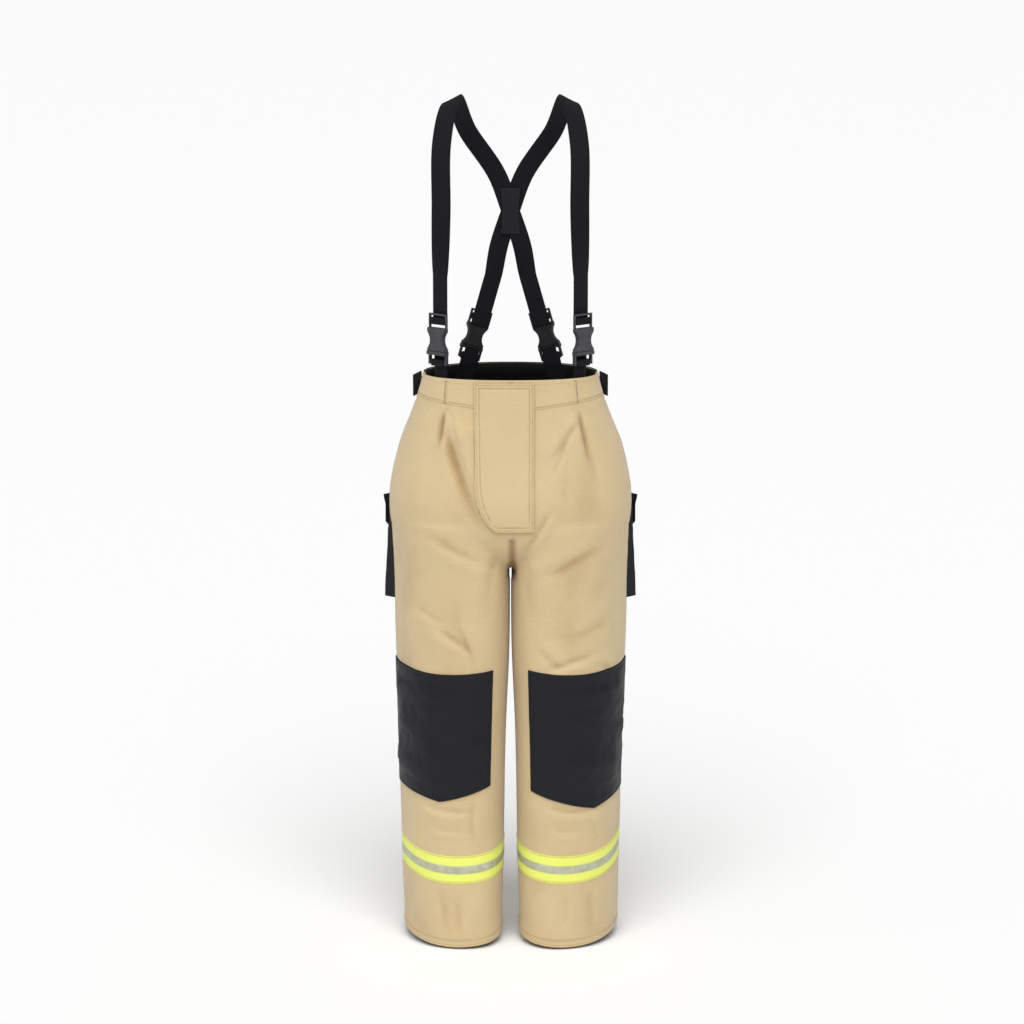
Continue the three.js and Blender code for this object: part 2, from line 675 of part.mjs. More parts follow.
function socket() {
  const low = PLUG_BASE + CLEARANCE;
  const room = PRONG_X + PRONG_WIDTH / 2 + CLEARANCE;
  const body = plate(socketOutline(), SOCKET_FRONT, SOCKET_BACK, 5);
  const hollow = block(-room, room, SOCKET_FRONT + SOCKET_WALL, SOCKET_BACK - SOCKET_WALL,
    low - 1, BODY_TOP - SOCKET_WALL);
  const barbTop = PLUG_BASE + PRONG_REACH;
  const windows = block(-HALF_BUCKLE - 1, HALF_BUCKLE + 1,
    SOCKET_MIDDLE - PRONG_THICKNESS / 2 - 0.6, SOCKET_MIDDLE + PRONG_THICKNESS / 2 + 0.6,
    barbTop + 0.6 - WINDOW_HEIGHT, barbTop + 0.6);
  const rails = block(-HALF_BUCKLE, HALF_BUCKLE, -FRAME_HALF_THICKNESS, FRAME_HALF_THICKNESS,
    BODY_TOP - 1, SOCKET_TOP);
  const gap = block(-RAIL_INSIDE, RAIL_INSIDE, -FAR, FAR, BODY_TOP, SOCKET_TOP - FRAME_RAIL);
  const bar = block(-RAIL_INSIDE - 1, RAIL_INSIDE + 1, -BAR_THICKNESS / 2, BAR_THICKNESS / 2,
    BAR_MIDDLE - BAR_HEIGHT / 2, BAR_MIDDLE + BAR_HEIGHT / 2);
  return body.subtract(hollow).subtract(windows).add(rails.subtract(gap).add(bar));
}

// Webbing folded round a bar that lies across the buckle
function wrap(barMiddle, width) {
  const hole = CLEARANCE;
  const outside = block(-width / 2, width / 2, -SOCKET_BACK, SOCKET_BACK,
    barMiddle - BAR_HEIGHT / 2 - hole - WEBBING, barMiddle + BAR_HEIGHT / 2 + hole + WEBBING);
  const inside = block(-width, width, -BAR_THICKNESS / 2 - hole, BAR_THICKNESS / 2 + hole,
    barMiddle - BAR_HEIGHT / 2 - hole, barMiddle + BAR_HEIGHT / 2 + hole);
  return outside.subtract(inside);
}

function plug() {
  const base = block(-HALF_BUCKLE, HALF_BUCKLE, SOCKET_FRONT, SOCKET_BACK, 0, PLUG_BASE);
  const tongue = block(-TONGUE_WIDTH / 2, TONGUE_WIDTH / 2, SOCKET_MIDDLE - 2,
    SOCKET_MIDDLE + 2, PLUG_BASE - 1, PLUG_BASE + PRONG_REACH - 6);
  const rails = block(-HALF_BUCKLE, HALF_BUCKLE, -FRAME_HALF_THICKNESS, FRAME_HALF_THICKNESS,
    -PLUG_FRAME, 1);
  const gap = block(-RAIL_INSIDE, RAIL_INSIDE, -FAR, FAR, -FAR, 0);
  const bar = block(-RAIL_INSIDE - 1, RAIL_INSIDE + 1, -BAR_THICKNESS / 2, BAR_THICKNESS / 2,
    -PLUG_FRAME, -PLUG_FRAME + BAR_HEIGHT);
  return base.add(tongue).add(rails.subtract(gap).add(bar));
}

const PRONG_ROOT = PLUG_BASE + 2 * CLEARANCE;       // room for the prong's heel to turn

function prong(side) {
  const top = PLUG_BASE + PRONG_REACH;
  const [near, far] = [PRONG_X - PRONG_WIDTH / 2, PRONG_X + PRONG_WIDTH / 2];
  const catchOut = far + CLEARANCE + BARB_CATCH;
  const shape = outline([
    [near, PRONG_ROOT], [far, PRONG_ROOT], [far, top - BARB_HEIGHT],
    [catchOut, top - BARB_HEIGHT + 1], [catchOut, top - 3], [far - 1, top], [near, top],
  ]);
  return mirrored(plate(shape, SOCKET_MIDDLE - PRONG_THICKNESS / 2,
    SOCKET_MIDDLE + PRONG_THICKNESS / 2), side);
}

// ---------------------------------------------------------------- suspenders

// Where a webbing tab leaves the waist: its place and how far the waistband turns there
function waistAt(x, front) {
  const offset = LINING_IN - CLEARANCE - WEBBING / 2;
  const depth = (front ? WAIST_FRONT : WAIST_BACK) + offset;
  const width = WAIST_HALF_WIDTH + offset;
  const t = x / width;
  const rest = 1 - t ** ROUNDNESS;
  const turn = (depth / width) * rest ** (1 / ROUNDNESS - 1) * t ** (ROUNDNESS - 1);
  return {
    x, y: (front ? -1 : 1) * depth * rest ** (1 / ROUNDNESS), turn: Math.atan(turn) / RADIANS,
  };
}

// Each buckle's frame on the wearer's left side: its place, its turn about Z and its lean
const BUCKLES = {
  front: {
    at: waistAt(FRONT_STRAP_X, true), facing: 0, lean: 0, lift: FRONT_LIFT, tab: FRONT_TAB_WIDTH,
  },
  rear: {
    at: waistAt(REAR_STRAP_X, false), facing: 180, lean: REAR_LEAN, lift: REAR_LIFT,
    tab: REAR_TAB_WIDTH,
  },
};

function buckleMatrix(end) {
  const { at, facing, lean, lift } = BUCKLES[end];
  const turn = facing === 0 ? at.turn : 180 - at.turn;
  const matrix = new THREE.Matrix4();
  // The lean is about the buckle's own y, towards the middle of the back
  const leaned = new THREE.Matrix4().makeRotationY(lean * RADIANS);
  const turned = new THREE.Matrix4().makeRotationZ(turn * RADIANS);
  const middle = (WEBBING_IN + WEBBING_OUT) / 2;
  matrix.multiply(new THREE.Matrix4().makeTranslation(at.x, at.y, 0));
  matrix.multiply(turned).multiply(leaned);
  matrix.multiply(new THREE.Matrix4().makeTranslation(0, -middle, lift));
  return matrix;
}

function place(solid, matrix) {
  return solid.transform(matrix.elements);
}

// The sewn tab: webbing that follows the waist inside, then runs up behind the plug's bar
function strapTab(end) {
  const { tab, lift } = BUCKLES[end];
  const half = Math.min(tab, RAIL_INSIDE * 2 - 2 * CLEARANCE) / 2;
  const barTop = -PLUG_FRAME + BAR_HEIGHT;
  const run = block(-half, half, -FAR / 20, FAR / 20, -lift - TAB_DEPTH, barTop + 4);
  const cloth = layer(trunkAt, LINING_IN - CLEARANCE - WEBBING, LINING_IN - CLEARANCE);
  const curved = place(run, buckleMatrix(end)).intersect(cloth);
  const fold = wrap(-PLUG_FRAME + BAR_HEIGHT / 2, half * 2);
  const joint = block(-half, half, SOCKET_BACK - WEBBING, WEBBING_OUT,
    barTop - BAR_HEIGHT - WEBBING, barTop + CLEARANCE);
  const hole = block(-BUCKLE_WIDTH, BUCKLE_WIDTH, -BAR_THICKNESS / 2 - CLEARANCE,
    BAR_THICKNESS / 2 + CLEARANCE, -PLUG_FRAME - CLEARANCE, barTop + CLEARANCE);
  return curved.add(place(fold.add(joint).subtract(hole), buckleMatrix(end)));
}

function pointIn(matrix, x, y, z) {
  return new THREE.Vector3(x, y, z).applyMatrix4(matrix);
}

function directionIn(matrix, x, y, z) {
  return new THREE.Vector3(x, y, z).transformDirection(matrix);
}

// One shoulder strap from the wearer's left front, over the shoulder, to the right back
function shoulderStrap(crossingOffset) {
  const front = buckleMatrix('front');
  const rear = new THREE.Matrix4().makeScale(-1, 1, 1).multiply(buckleMatrix('rear'));
  const middle = (WEBBING_IN + WEBBING_OUT) / 2;
  const start = BODY_TOP + 4;
  const heights = [start, SOCKET_TOP + 24, SOCKET_TOP + 50];
  const slopeX = SHOULDER_SLOPE * RADIANS;
  const across = {
    front: directionIn(front, 1, 0, 0),
    chest: new THREE.Vector3(1, 0, 0),
    shoulder: new THREE.Vector3(Math.cos(slopeX), 0, -Math.sin(slopeX)),
    blade: new THREE.Vector3(0.9, -0.22, -0.38),
    crossing: new THREE.Vector3(0.94, 0, -0.34),
    rear: directionIn(rear, 1, 0, 0),
  };
  const stops = [
    ...heights.map((z) => [pointIn(front, 0, middle, z), across.front]),
    [new THREE.Vector3(CHEST.x, CHEST.y, CHEST.z), across.chest],
    [new THREE.Vector3(CHEST.x - 1, CHEST.y + 16, CHEST.z + 110), across.chest],
    [new THREE.Vector3(SHOULDER.x, SHOULDER.y, SHOULDER.z), across.shoulder],
    [new THREE.Vector3(BLADE.x, BLADE.y, BLADE.z), across.blade],
    [new THREE.Vector3(24, CROSSING.y + crossingOffset, CROSSING.z + 64), across.crossing],
    [new THREE.Vector3(0, CROSSING.y + crossingOffset, CROSSING.z), across.crossing],
    [new THREE.Vector3(-20, CROSSING.y + crossingOffset, CROSSING.z - 60), across.crossing],
    ...heights.reverse().map((z) => [pointIn(rear, 0, middle, z), across.rear]),
  ];
  return ribbon(stops, WEBBING_WIDTH, WEBBING, STRAP_STEPS);
}

// Flat webbing through stops, each a point and the direction of the webbing's width
function ribbon(stops, width, thickness, steps) {
  const curve = new THREE.CatmullRomCurve3(stops.map(([p]) => p), false, 'centripetal');
  const rings = [];
  for (let i = 0; i <= steps; i++) {
    const t = i / steps;
    const spot = t * (stops.length - 1);
    const from = Math.min(Math.floor(spot), stops.length - 2);
    const width0 = stops[from][1].clone();
    const side = width0.lerp(stops[from + 1][1].clone(), spot - from);
    const along = curve.getTangent(t);
    side.addScaledVector(along, -side.dot(along)).normalize();
    const out = along.clone().cross(side);
    const middle = curve.getPoint(t);
    rings.push([[-1, -1], [1, -1], [1, 1], [-1, 1]].map(([u, v]) => (
      middle.clone().addScaledVector(side, u * width / 2).addScaledVector(out, v * thickness / 2)
    )));
  }
  return loft(rings);
}

function crossPatch() {
  const near = CROSSING.y - STRAP_SPACING / 2 - WEBBING / 2 - CLEARANCE;
  const [w, h, n] = [CROSS_PATCH_WIDTH / 2, CROSS_PATCH_HEIGHT / 2, CROSS_PATCH_WAIST / 2];
  return plate(outline([[-w, h], [-n, 0], [-w, -h], [w, -h], [n, 0], [w, h]]),
    near - CROSS_PATCH, near).translate([0, 0, CROSSING.z]);
}

const STRAP_SPACING = WEBBING + 2 * CLEARANCE;       // middle to middle where the straps cross

// ---------------------------------------------------------------- assembly

const MATERIALS = {
  shell_tan: [0xd2b98a, 0.85, 0],
  liner_cream: [0xe6ddc4, 0.9, 0],
  black_webbing: [0x1c1c22, 0.8, 0],
  black_coated: [0x1d1e27, 0.6, 0],
  buckle_plastic: [0x3a393d, 0.5, 0],
  zip_tape: [0x2a2a2c, 0.85, 0],
  zip_brass: [0xa98b4c, 0.4, 0.9],
  knee_foam: [0x8d8f94, 0.95, 0],
  lime_trim: [0xdcea3c, 0.6, 0],
  silver_trim: [0xb4b8ae, 0.35, 0.3],
};

const group = new THREE.Group();

function addPiece(name, slot, solid) {
  const [color, roughness, metalness] = MATERIALS[slot];
  const material = new THREE.MeshStandardMaterial({ color, roughness, metalness });
  const mesh = new THREE.Mesh(toGeometry(solid), material);
  mesh.name = name;
  group.add(mesh);
}

addPiece('waistband_back', 'shell_tan', waistbandBack());
addPiece('waist_lining', 'black_coated', waistLining());
addPiece('thermal_liner', 'liner_cream', thermalLiner());
addPiece('zipper_tape', 'zip_tape', zipperTape());
addPiece('zipper_slider', 'zip_brass', zipperSlider());
addPiece('zipper_pull', 'zip_brass', zipperPull());
addPiece('fly_placket', 'shell_tan', flyPlacket());
addPiece('fly_hook_strip', 'zip_tape', flyHookStrip());
addPiece('fly_flap', 'shell_tan', flyFlap());
addPiece('cross_patch', 'black_coated', crossPatch());

const SIDES = { left: 1, right: -1 };
const PAIRED = [
  ['front_panel', 'shell_tan', panel(-1)],
  ['back_panel', 'shell_tan', panel(1)],
  ['waistband_front', 'shell_tan', waistbandFront()],
  ['leg_hem', 'shell_tan', hem()],
  ['knee_pad', 'knee_foam', kneePad()],
  ['knee_patch', 'black_coated', kneePatch()],
  ['hi_vis_tape', 'lime_trim', hiVisTape()],
  ['reflective_stripe', 'silver_trim', reflectiveStripe()],
  ['cargo_pocket', 'black_coated', cargoPocket()],
  ['cargo_flap', 'black_coated', cargoFlap()],
  ['takeup_strap', 'black_webbing', takeupStrap()],
  ['takeup_tab', 'black_webbing', takeupTab()],
  ['front_tab', 'black_webbing', strapTab('front')],
  ['rear_tab', 'black_webbing', strapTab('rear')],
];

for (const [sideName, side] of Object.entries(SIDES)) {
  for (const [name, slot, solid] of PAIRED) {
    addPiece(`${name}_${sideName}`, slot, mirrored(solid, side));
  }
  addPiece(`shoulder_strap_${sideName}`, 'black_webbing',
    mirrored(shoulderStrap(side * STRAP_SPACING / 2), side));
  for (const end of Object.keys(BUCKLES)) {
    const matrix = buckleMatrix(end);
    const put = (solid) => mirrored(place(solid, matrix), side);
    addPiece(`${end}_socket_${sideName}`, 'buckle_plastic', put(socket()));
    addPiece(`${end}_loop_${sideName}`, 'black_webbing',
      put(wrap(BAR_MIDDLE, 2 * RAIL_INSIDE - 2 * CLEARANCE)));
    addPiece(`${end}_plug_${sideName}`, 'buckle_plastic', put(plug()));
    addPiece(`${end}_prong_a_${sideName}`, 'buckle_plastic', put(prong(1)));
    addPiece(`${end}_prong_b_${sideName}`, 'buckle_plastic', put(prong(-1)));
  }
}

export default group;
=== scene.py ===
"""Bunker pants: the outer cloth, trim, fittings and stage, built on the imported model."""
from functools import cache
import math

import bmesh
import bpy
import numpy as np
from mathutils import Euler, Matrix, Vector, noise
from mathutils.bvhtree import BVHTree


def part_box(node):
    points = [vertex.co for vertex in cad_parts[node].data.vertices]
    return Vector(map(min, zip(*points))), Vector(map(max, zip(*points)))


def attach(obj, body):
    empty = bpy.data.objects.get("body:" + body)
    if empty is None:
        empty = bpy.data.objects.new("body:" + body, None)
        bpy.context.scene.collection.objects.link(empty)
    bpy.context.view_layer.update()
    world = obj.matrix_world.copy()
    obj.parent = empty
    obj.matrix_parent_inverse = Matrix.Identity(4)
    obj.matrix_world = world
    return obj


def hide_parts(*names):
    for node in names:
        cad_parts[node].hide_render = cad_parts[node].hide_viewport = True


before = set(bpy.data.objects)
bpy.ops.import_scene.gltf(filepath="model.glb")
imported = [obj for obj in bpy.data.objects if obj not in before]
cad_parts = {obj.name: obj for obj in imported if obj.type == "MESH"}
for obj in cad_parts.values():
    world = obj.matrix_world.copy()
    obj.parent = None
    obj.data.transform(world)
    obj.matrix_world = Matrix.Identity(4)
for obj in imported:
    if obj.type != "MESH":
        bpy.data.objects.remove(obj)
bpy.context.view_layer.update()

bl_info = {
    "name": "Bunker Pants",
    "version": (1, 0, 0),
    "blender": (4, 5, 0),
    "location": "View3D > Sidebar > Bunker Pants",
    "description": "Makes the cloth, trim and fittings of a pair of bunker pants",
    "category": "Mesh",
}

SIDES = {"left": 1, "right": -1}     # the wearer's left is +X
ENDS = ("front", "rear")             # the two ends of each shoulder strap
TAU = 2 * math.pi

# ------------------------------------------------------------------ the trousers' form

ROUNDNESS = 2.3                      # exponent of the oval sections
TOE_OUT = 0.2                        # how far a leg's outer side lies back
BAND_HEIGHT = 0.046
CROTCH_DROP = 0.336
WAIST_REACH = 0.12                   # mean radius of the waist, for lengths round it
LEG_REACH = 0.1                      # mean radius of a leg, for lengths round it

# drop below the waist, half width, depth to the front, depth to the back
TRUNK = np.array([
    (-0.03, 0.150, 0.092, 0.115), (0.0, 0.150, 0.092, 0.115), (0.046, 0.162, 0.0986, 0.1226),
    (0.132, 0.1935, 0.111, 0.1368), (0.237, 0.2075, 0.126, 0.144), (0.267, 0.203, 0.122, 0.141),
    (0.304, 0.1895, 0.098, 0.114), (0.336, 0.150, 0.042, 0.054),
])
# drop below the waist, reach of the outer and inner side, depth to the front and back
LEG = np.array([
    (0.25, 0.205, 0.0008, 0.117, 0.127), (0.336, 0.2015, 0.0008, 0.114, 0.122),
    (0.47, 0.1995, 0.0016, 0.109, 0.115), (0.62, 0.1945, 0.0078, 0.105, 0.106),
    (0.842, 0.1915, 0.012, 0.100, 0.102), (1.0, 0.188, 0.015, 0.098, 0.101),
    (1.03, 0.188, 0.015, 0.098, 0.101),
])


def bend_between(t, start, stop, start_slope, stop_slope):
    """The smooth curve between two values with the slopes given at its ends, for t from 0 to 1."""
    return (start * (2 * t**3 - 3 * t**2 + 1) + stop * (3 * t**2 - 2 * t**3)
            + start_slope * (t**3 - 2 * t**2 + t) + stop_slope * (t**3 - t**2))


def along(table, drop, column):
    """Value of one column at a drop, by a smooth curve through the table's rows."""
    xs, ys = table[:, 0], table[:, column]
    slope = np.gradient(ys, xs)
    i = int(np.clip(np.searchsorted(xs, drop) - 1, 0, len(xs) - 2))
    span = xs[i + 1] - xs[i]
    t = min(max((drop - xs[i]) / span, 0), 1)
    return bend_between(t, ys[i], ys[i + 1], slope[i] * span, slope[i + 1] * span)


def power(value):
    """A cosine or sine bent to the oval sections' roundness."""
    return math.copysign(abs(value) ** (2 / ROUNDNESS), value)


def trunk_point(angle, drop):
    """A point round the trunk. Angle 0 is the wearer's left, negative angles are in front."""
    depth = along(TRUNK, drop, 2 if math.sin(angle) < 0 else 3)
    return (along(TRUNK, drop, 1) * power(math.cos(angle)), depth * power(math.sin(angle)), -drop)


def leg_point(sign, angle, drop):
    """A point round one leg. Angle 0 is the leg's outer side, negative angles are in front."""
    outer, inner = along(LEG, drop, 1), along(LEG, drop, 2)
    across = (outer - inner) / 2 * power(math.cos(angle))
    depth = along(LEG, drop, 3 if math.sin(angle) < 0 else 4)
    middle = (outer + inner) / 2
    return (sign * (middle + across), depth * power(math.sin(angle)) + TOE_OUT * across, -drop)


def leg_axis(sign, drop):
    """How far across a leg's middle lies."""
    return sign * (along(LEG, drop, 1) + along(LEG, drop, 2)) / 2


# ------------------------------------------------------------------ meshes

def smooth_faces(mesh):
    mesh.polygons.foreach_set("use_smooth", [True] * len(mesh.polygons))


def placed(name, data):
    """A new object with that data, in the scene."""
    obj = bpy.data.objects.new(name, data)
    bpy.context.scene.collection.objects.link(obj)
    return obj


def set_map(mesh, uv):
    """Gives the mesh its cloth map, in metres along and across the threads."""
    layer = mesh.uv_layers.new(name="cloth")
    index = np.empty(len(mesh.loops), dtype=np.int32)
    mesh.loops.foreach_get("vertex_index", index)
    layer.data.foreach_set("uv", np.asarray(uv, dtype=np.float32)[index].ravel())


def new_object(name, verts, faces, material=None, uv=None):
    mesh = bpy.data.meshes.new(name)
    mesh.from_pydata([tuple(v) for v in verts], [], faces)
    mesh.update()
    smooth_faces(mesh)
    if uv is not None:
        set_map(mesh, uv)
    if material:
        mesh.materials.append(material)
    return placed(name, mesh)


def grid_faces(rows, columns, closed=False):
    """Faces of a grid of points. A closed one joins its last column to its first."""
    last = columns if closed else columns - 1
    return [(r * columns + c, r * columns + (c + 1) % columns,
             (r + 1) * columns + (c + 1) % columns, (r + 1) * columns + c)
            for r in range(rows - 1) for c in range(last)]


def capped_faces(rows, columns):
    """Faces of a closed tube of rings, with both of its ends shut."""
    faces = grid_faces(rows, columns, closed=True)
    faces.append(tuple(reversed(range(columns))))
    faces.append(tuple(range((rows - 1) * columns, rows * columns)))
    return faces


def add_box(verts, faces, low, high):
    """Adds a box between two opposite corners."""
    base = len(verts)
    verts += [(x, y, z) for z in (low[2], high[2]) for x, y in (
        (low[0], low[1]), (high[0], low[1]), (high[0], high[1]), (low[0], high[1]))]
    faces += [tuple(base + i for i in face) for face in (
        (0, 3, 2, 1), (4, 5, 6, 7), (0, 1, 5, 4), (1, 2, 6, 5), (2, 3, 7, 6), (3, 0, 4, 7))]


def applied(obj):
    """The object's mesh with its modifiers applied, in place of the old one."""
    graph = bpy.context.evaluated_depsgraph_get()
    mesh = bpy.data.meshes.new_from_object(obj.evaluated_get(graph))
    obj.modifiers.clear()
    obj.data = mesh
    return mesh


def vertices_of(mesh):
    out = np.empty(len(mesh.vertices) * 3)
    mesh.vertices.foreach_get("co", out)
    return out.reshape(-1, 3)


def normals_of(mesh):
    out = np.empty(len(mesh.vertices) * 3, dtype=np.float32)
    mesh.vertex_normals.foreach_get("vector", out)
    return out.reshape(-1, 3).astype(float)


def set_vertices(mesh, points):
    mesh.vertices.foreach_set("co", np.asarray(points, dtype=np.float32).ravel())
    mesh.update()


def belong(obj, body, slot, *nodes):
    """The piece rides on a body and stands for CAD nodes; the slot is not used."""
    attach(obj, body)
    if nodes:
        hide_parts(*nodes)
    return obj


def step(x, low, high):
    """Rises smoothly from 0 at low to 1 at high."""
    t = np.clip((x - low) / (high - low), 0, 1)
    return t * t * (3 - 2 * t)


# ------------------------------------------------------------------ folds of the cloth

# Each fold lies on the front or back as a curve through three (x, z) points. Depth is how far the
# ridge stands out, and the groove is cut beside it, to the side that "lean" gives.
FOLDS_FRONT = [
    # pleats under the wearer's right half of the waistband
    ((-0.106, -0.056), (-0.112, -0.090), (-0.118, -0.128), 0.0062, 0.0050, -1),
    ((-0.094, -0.074), (-0.066, -0.160), (-0.020, -0.262), 0.0088, 0.0160, -1),
    ((-0.092, -0.070), (-0.087, -0.094), (-0.079, -0.118), 0.0028, 0.0050, -1),
    ((-0.072, -0.080), (-0.069, -0.094), (-0.063, -0.106), 0.0022, 0.0045, -1),
    ((-0.132, -0.062), (-0.148, -0.120), (-0.160, -0.190), 0.0026, 0.0120, 1),
    # pleats under the wearer's left half
    ((0.108, -0.056), (0.118, -0.100), (0.126, -0.144), 0.0064, 0.0065, 1),
    ((0.106, -0.068), (0.085, -0.100), (0.058, -0.136), 0.0040, 0.0080, 1),
    ((0.094, -0.126), (0.088, -0.146), (0.080, -0.168), 0.0026, 0.0060, -1),
    ((0.130, -0.066), (0.150, -0.125), (0.168, -0.190), 0.0028, 0.0110, -1),
    ((0.070, -0.090), (0.078, -0.160), (0.070, -0.230), 0.0024, 0.0140, 1),
    # hips and the front of the crotch
    ((0.073, -0.230), (0.060, -0.262), (0.034, -0.300), 0.0042, 0.0090, -1),
    ((0.150, -0.270), (0.100, -0.300), (0.030, -0.330), 0.0026, 0.0120, 1),
    ((-0.150, -0.275), (-0.095, -0.310), (-0.025, -0.338), 0.0026, 0.0120, 1),
    ((-0.040, -0.290), (-0.052, -0.335), (-0.050, -0.390), 0.0026, 0.0130, 1),
    ((0.040, -0.300), (0.050, -0.345), (0.052, -0.400), 0.0026, 0.0130, -1),
    # thighs, above the knee patches
    ((-0.142, -0.436), (-0.108, -0.452), (-0.070, -0.480), 0.0032, 0.0100, 1),
    ((-0.078, -0.418), (-0.060, -0.455), (-0.044, -0.505), 0.0030, 0.0090, -1),
    ((-0.175, -0.400), (-0.140, -0.425), (-0.110, -0.432), 0.0022, 0.0110, 1),
    ((0.060, -0.514), (0.105, -0.498), (0.155, -0.487), 0.0034, 0.0100, 1),
    ((0.155, -0.487), (0.170, -0.492), (0.178, -0.503), 0.0024, 0.0070, -1),
    ((0.052, -0.450), (0.070, -0.475), (0.100, -0.492), 0.0024, 0.0090, -1),
    ((0.165, -0.400), (0.140, -0.420), (0.105, -0.430), 0.0020, 0.0110, 1),
    # calves, under the knee patches
    ((-0.165, -0.748), (-0.120, -0.772), (-0.068, -0.762), 0.0030, 0.0090, 1),
    ((-0.140, -0.792), (-0.110, -0.802), (-0.080, -0.796), 0.0018, 0.0070, 1),
    ((-0.052, -0.735), (-0.060, -0.775), (-0.050, -0.812), 0.0022, 0.0090, -1),
    ((0.060, -0.752), (0.100, -0.776), (0.160, -0.762), 0.0028, 0.0090, 1),
    ((0.142, -0.752), (0.156, -0.782), (0.164, -0.812), 0.0030, 0.0070, -1),
    ((0.070, -0.790), (0.090, -0.806), (0.125, -0.800), 0.0018, 0.0080, 1),
    # below the leg trim
    ((-0.140, -0.905), (-0.128, -0.940), (-0.132, -0.975), 0.0022, 0.0130, 1),
    ((-0.070, -0.900), (-0.078, -0.940), (-0.070, -0.978), 0.0020, 0.0120, -1),
    ((0.080, -0.903), (0.072, -0.940), (0.078, -0.978), 0.0022, 0.0130, 1),
    ((0.150, -0.898), (0.158, -0.930), (0.154, -0.972), 0.0020, 0.0120, -1),
]
# On the back each fold is made on both sides, with the lean of the right one and the left one.
BACK_PAIRS = [
    ((0.090, -0.300), (0.050, -0.335), (0.012, -0.345), 0.0045, 0.0120, 1, 1),
    ((0.130, -0.330), (0.080, -0.375), (0.020, -0.390), 0.0035, 0.0130, 1, 1),
    ((0.160, -0.560), (0.105, -0.585), (0.045, -0.570), 0.0040, 0.0100, 1, 1),
    ((0.155, -0.605), (0.100, -0.622), (0.050, -0.612), 0.0034, 0.0090, 1, 1),
    ((0.150, -0.530), (0.110, -0.548), (0.070, -0.540), 0.0026, 0.0090, -1, -1),
    ((0.060, -0.080), (0.066, -0.140), (0.056, -0.200), 0.0030, 0.0130, 1, -1),
]
FOLDS_BACK = [((side * a[0], a[1]), (side * b[0], b[1]), (side * c[0], c[1]), depth, width, lean)
              for a, b, c, depth, width, *leans in BACK_PAIRS
              for side, lean in zip((-1, 1), leans)]
FOLD_STEPS = 14
PLEAT_TOP = -0.115                   # a fold that starts above this is a pleat of the waistband


def fold_depth(x, z, fold):
    """How far one fold moves the cloth at (x, z), outward."""
    a, b, c, depth, width, lean = fold
    t = np.linspace(0, 1, FOLD_STEPS)[:, None]
    line = np.array(a) * (1 - t)**2 + 2 * np.array(b) * t * (1 - t) + np.array(c) * t**2
    reach = 6 * width
    low, high = line.min(0) - reach, line.max(0) + reach
    near = (x > low[0]) & (x < high[0]) & (z > low[1]) & (z < high[1])
    out = np.zeros_like(x)
    p = np.stack([x[near], z[near]], 1)
    start, run = line[:-1], line[1:] - line[:-1]
    length2 = (run**2).sum(1)
    rel = p[:, None, :] - start[None]
    s = np.clip((rel * run).sum(2) / length2, 0, 1)
    off = rel - s[..., None] * run
    gap = np.sqrt((off**2).sum(2))
    best = gap.argmin(1)
    rows = np.arange(len(p))
    cross = run[best, 0] * off[rows, best, 1] - run[best, 1] * off[rows, best, 0]
    signed = gap[rows, best] * np.sign(cross) * lean
    place = (best + s[rows, best]) / (FOLD_STEPS - 1)
    if a[1] > PLEAT_TOP:             # deepest where the waistband gathers it
        taper = np.clip(0.35 + place / 0.2, 0, 1) * (1 - np.clip(place, 0, 1) ** 2.4)
    else:
        taper = np.sin(np.pi * np.clip(place, 0.02, 0.98)) ** 0.6
    ridge = np.exp(-(signed / width) ** 2)
    soft = np.exp(-((signed + 0.9 * width) / (2.4 * width)) ** 2)
    groove = np.exp(-((signed - 1.25 * width) / (0.75 * width)) ** 2)
    out[near] = depth * taper * (0.55 * ridge + 0.45 * soft - 0.85 * groove)
    return out


def drape(points, normals):
    """The cloth's own shape: folds, creases and slow waves, as a move along the normal."""
    x, z = points[:, 0], points[:, 2]
    front = step(-normals[:, 1], 0.05, 0.5)
    back = step(normals[:, 1], 0.05, 0.5)
    move = np.zeros(len(points))
    for fold in FOLDS_FRONT:
        move += front * fold_depth(x, z, fold)
    for fold in FOLDS_BACK:
        move += back * fold_depth(x, z, fold)
    waves = np.array([
        1.7 * noise.noise((p[0] * 13, p[1] * 13, p[2] * 4.5))
        + 0.8 * noise.noise((p[0] * 26 + 7, p[1] * 26, p[2] * 15))
        + 0.35 * noise.noise((p[0] * 60, p[1] * 60 + 3, p[2] * 45)) for p in points
    ]) * 0.001
    calm = 1 - 0.75 * step(z, -BAND_HEIGHT - 0.03, -BAND_HEIGHT)
    return (move + waves) * calm


# ------------------------------------------------------------------ finishes

def add(tree, kind, links=None, **values):
    """A shader node: values set its properties or sockets, links join its sockets to others."""
    made = tree.nodes.new(kind)
    for key, value in values.items():
        if hasattr(made, key):
            setattr(made, key, value)
        else:
            made.inputs[key.replace("_", " ")].default_value = value
    for socket, source in (links or {}).items():
        tree.links.new(source, made.inputs[socket])
    return made


def maths(tree, operation, a, b=None):
    """The result of one sum of the shader, of numbers or of other nodes' outputs."""
    made = tree.nodes.new("ShaderNodeMath")
    made.operation = operation
    for i, value in enumerate((a, b)):
        if value is None:
            continue
        if isinstance(value, (int, float)):
            made.inputs[i].default_value = value
        else:
            tree.links.new(value, made.inputs[i])
    return made.outputs[0]


def group_tree(name, inputs, outputs):
    """An empty node group with named inputs and outputs."""
    tree = bpy.data.node_groups.new(name, "ShaderNodeTree")
    for label, kind, default in inputs:
        socket = tree.interface.new_socket(label, in_out="INPUT", socket_type=kind)
        if default is not None:
            socket.default_value = default
    for label, kind in outputs:
        tree.interface.new_socket(label, in_out="OUTPUT", socket_type=kind)
    return tree, tree.nodes.new("NodeGroupInput"), tree.nodes.new("NodeGroupOutput")


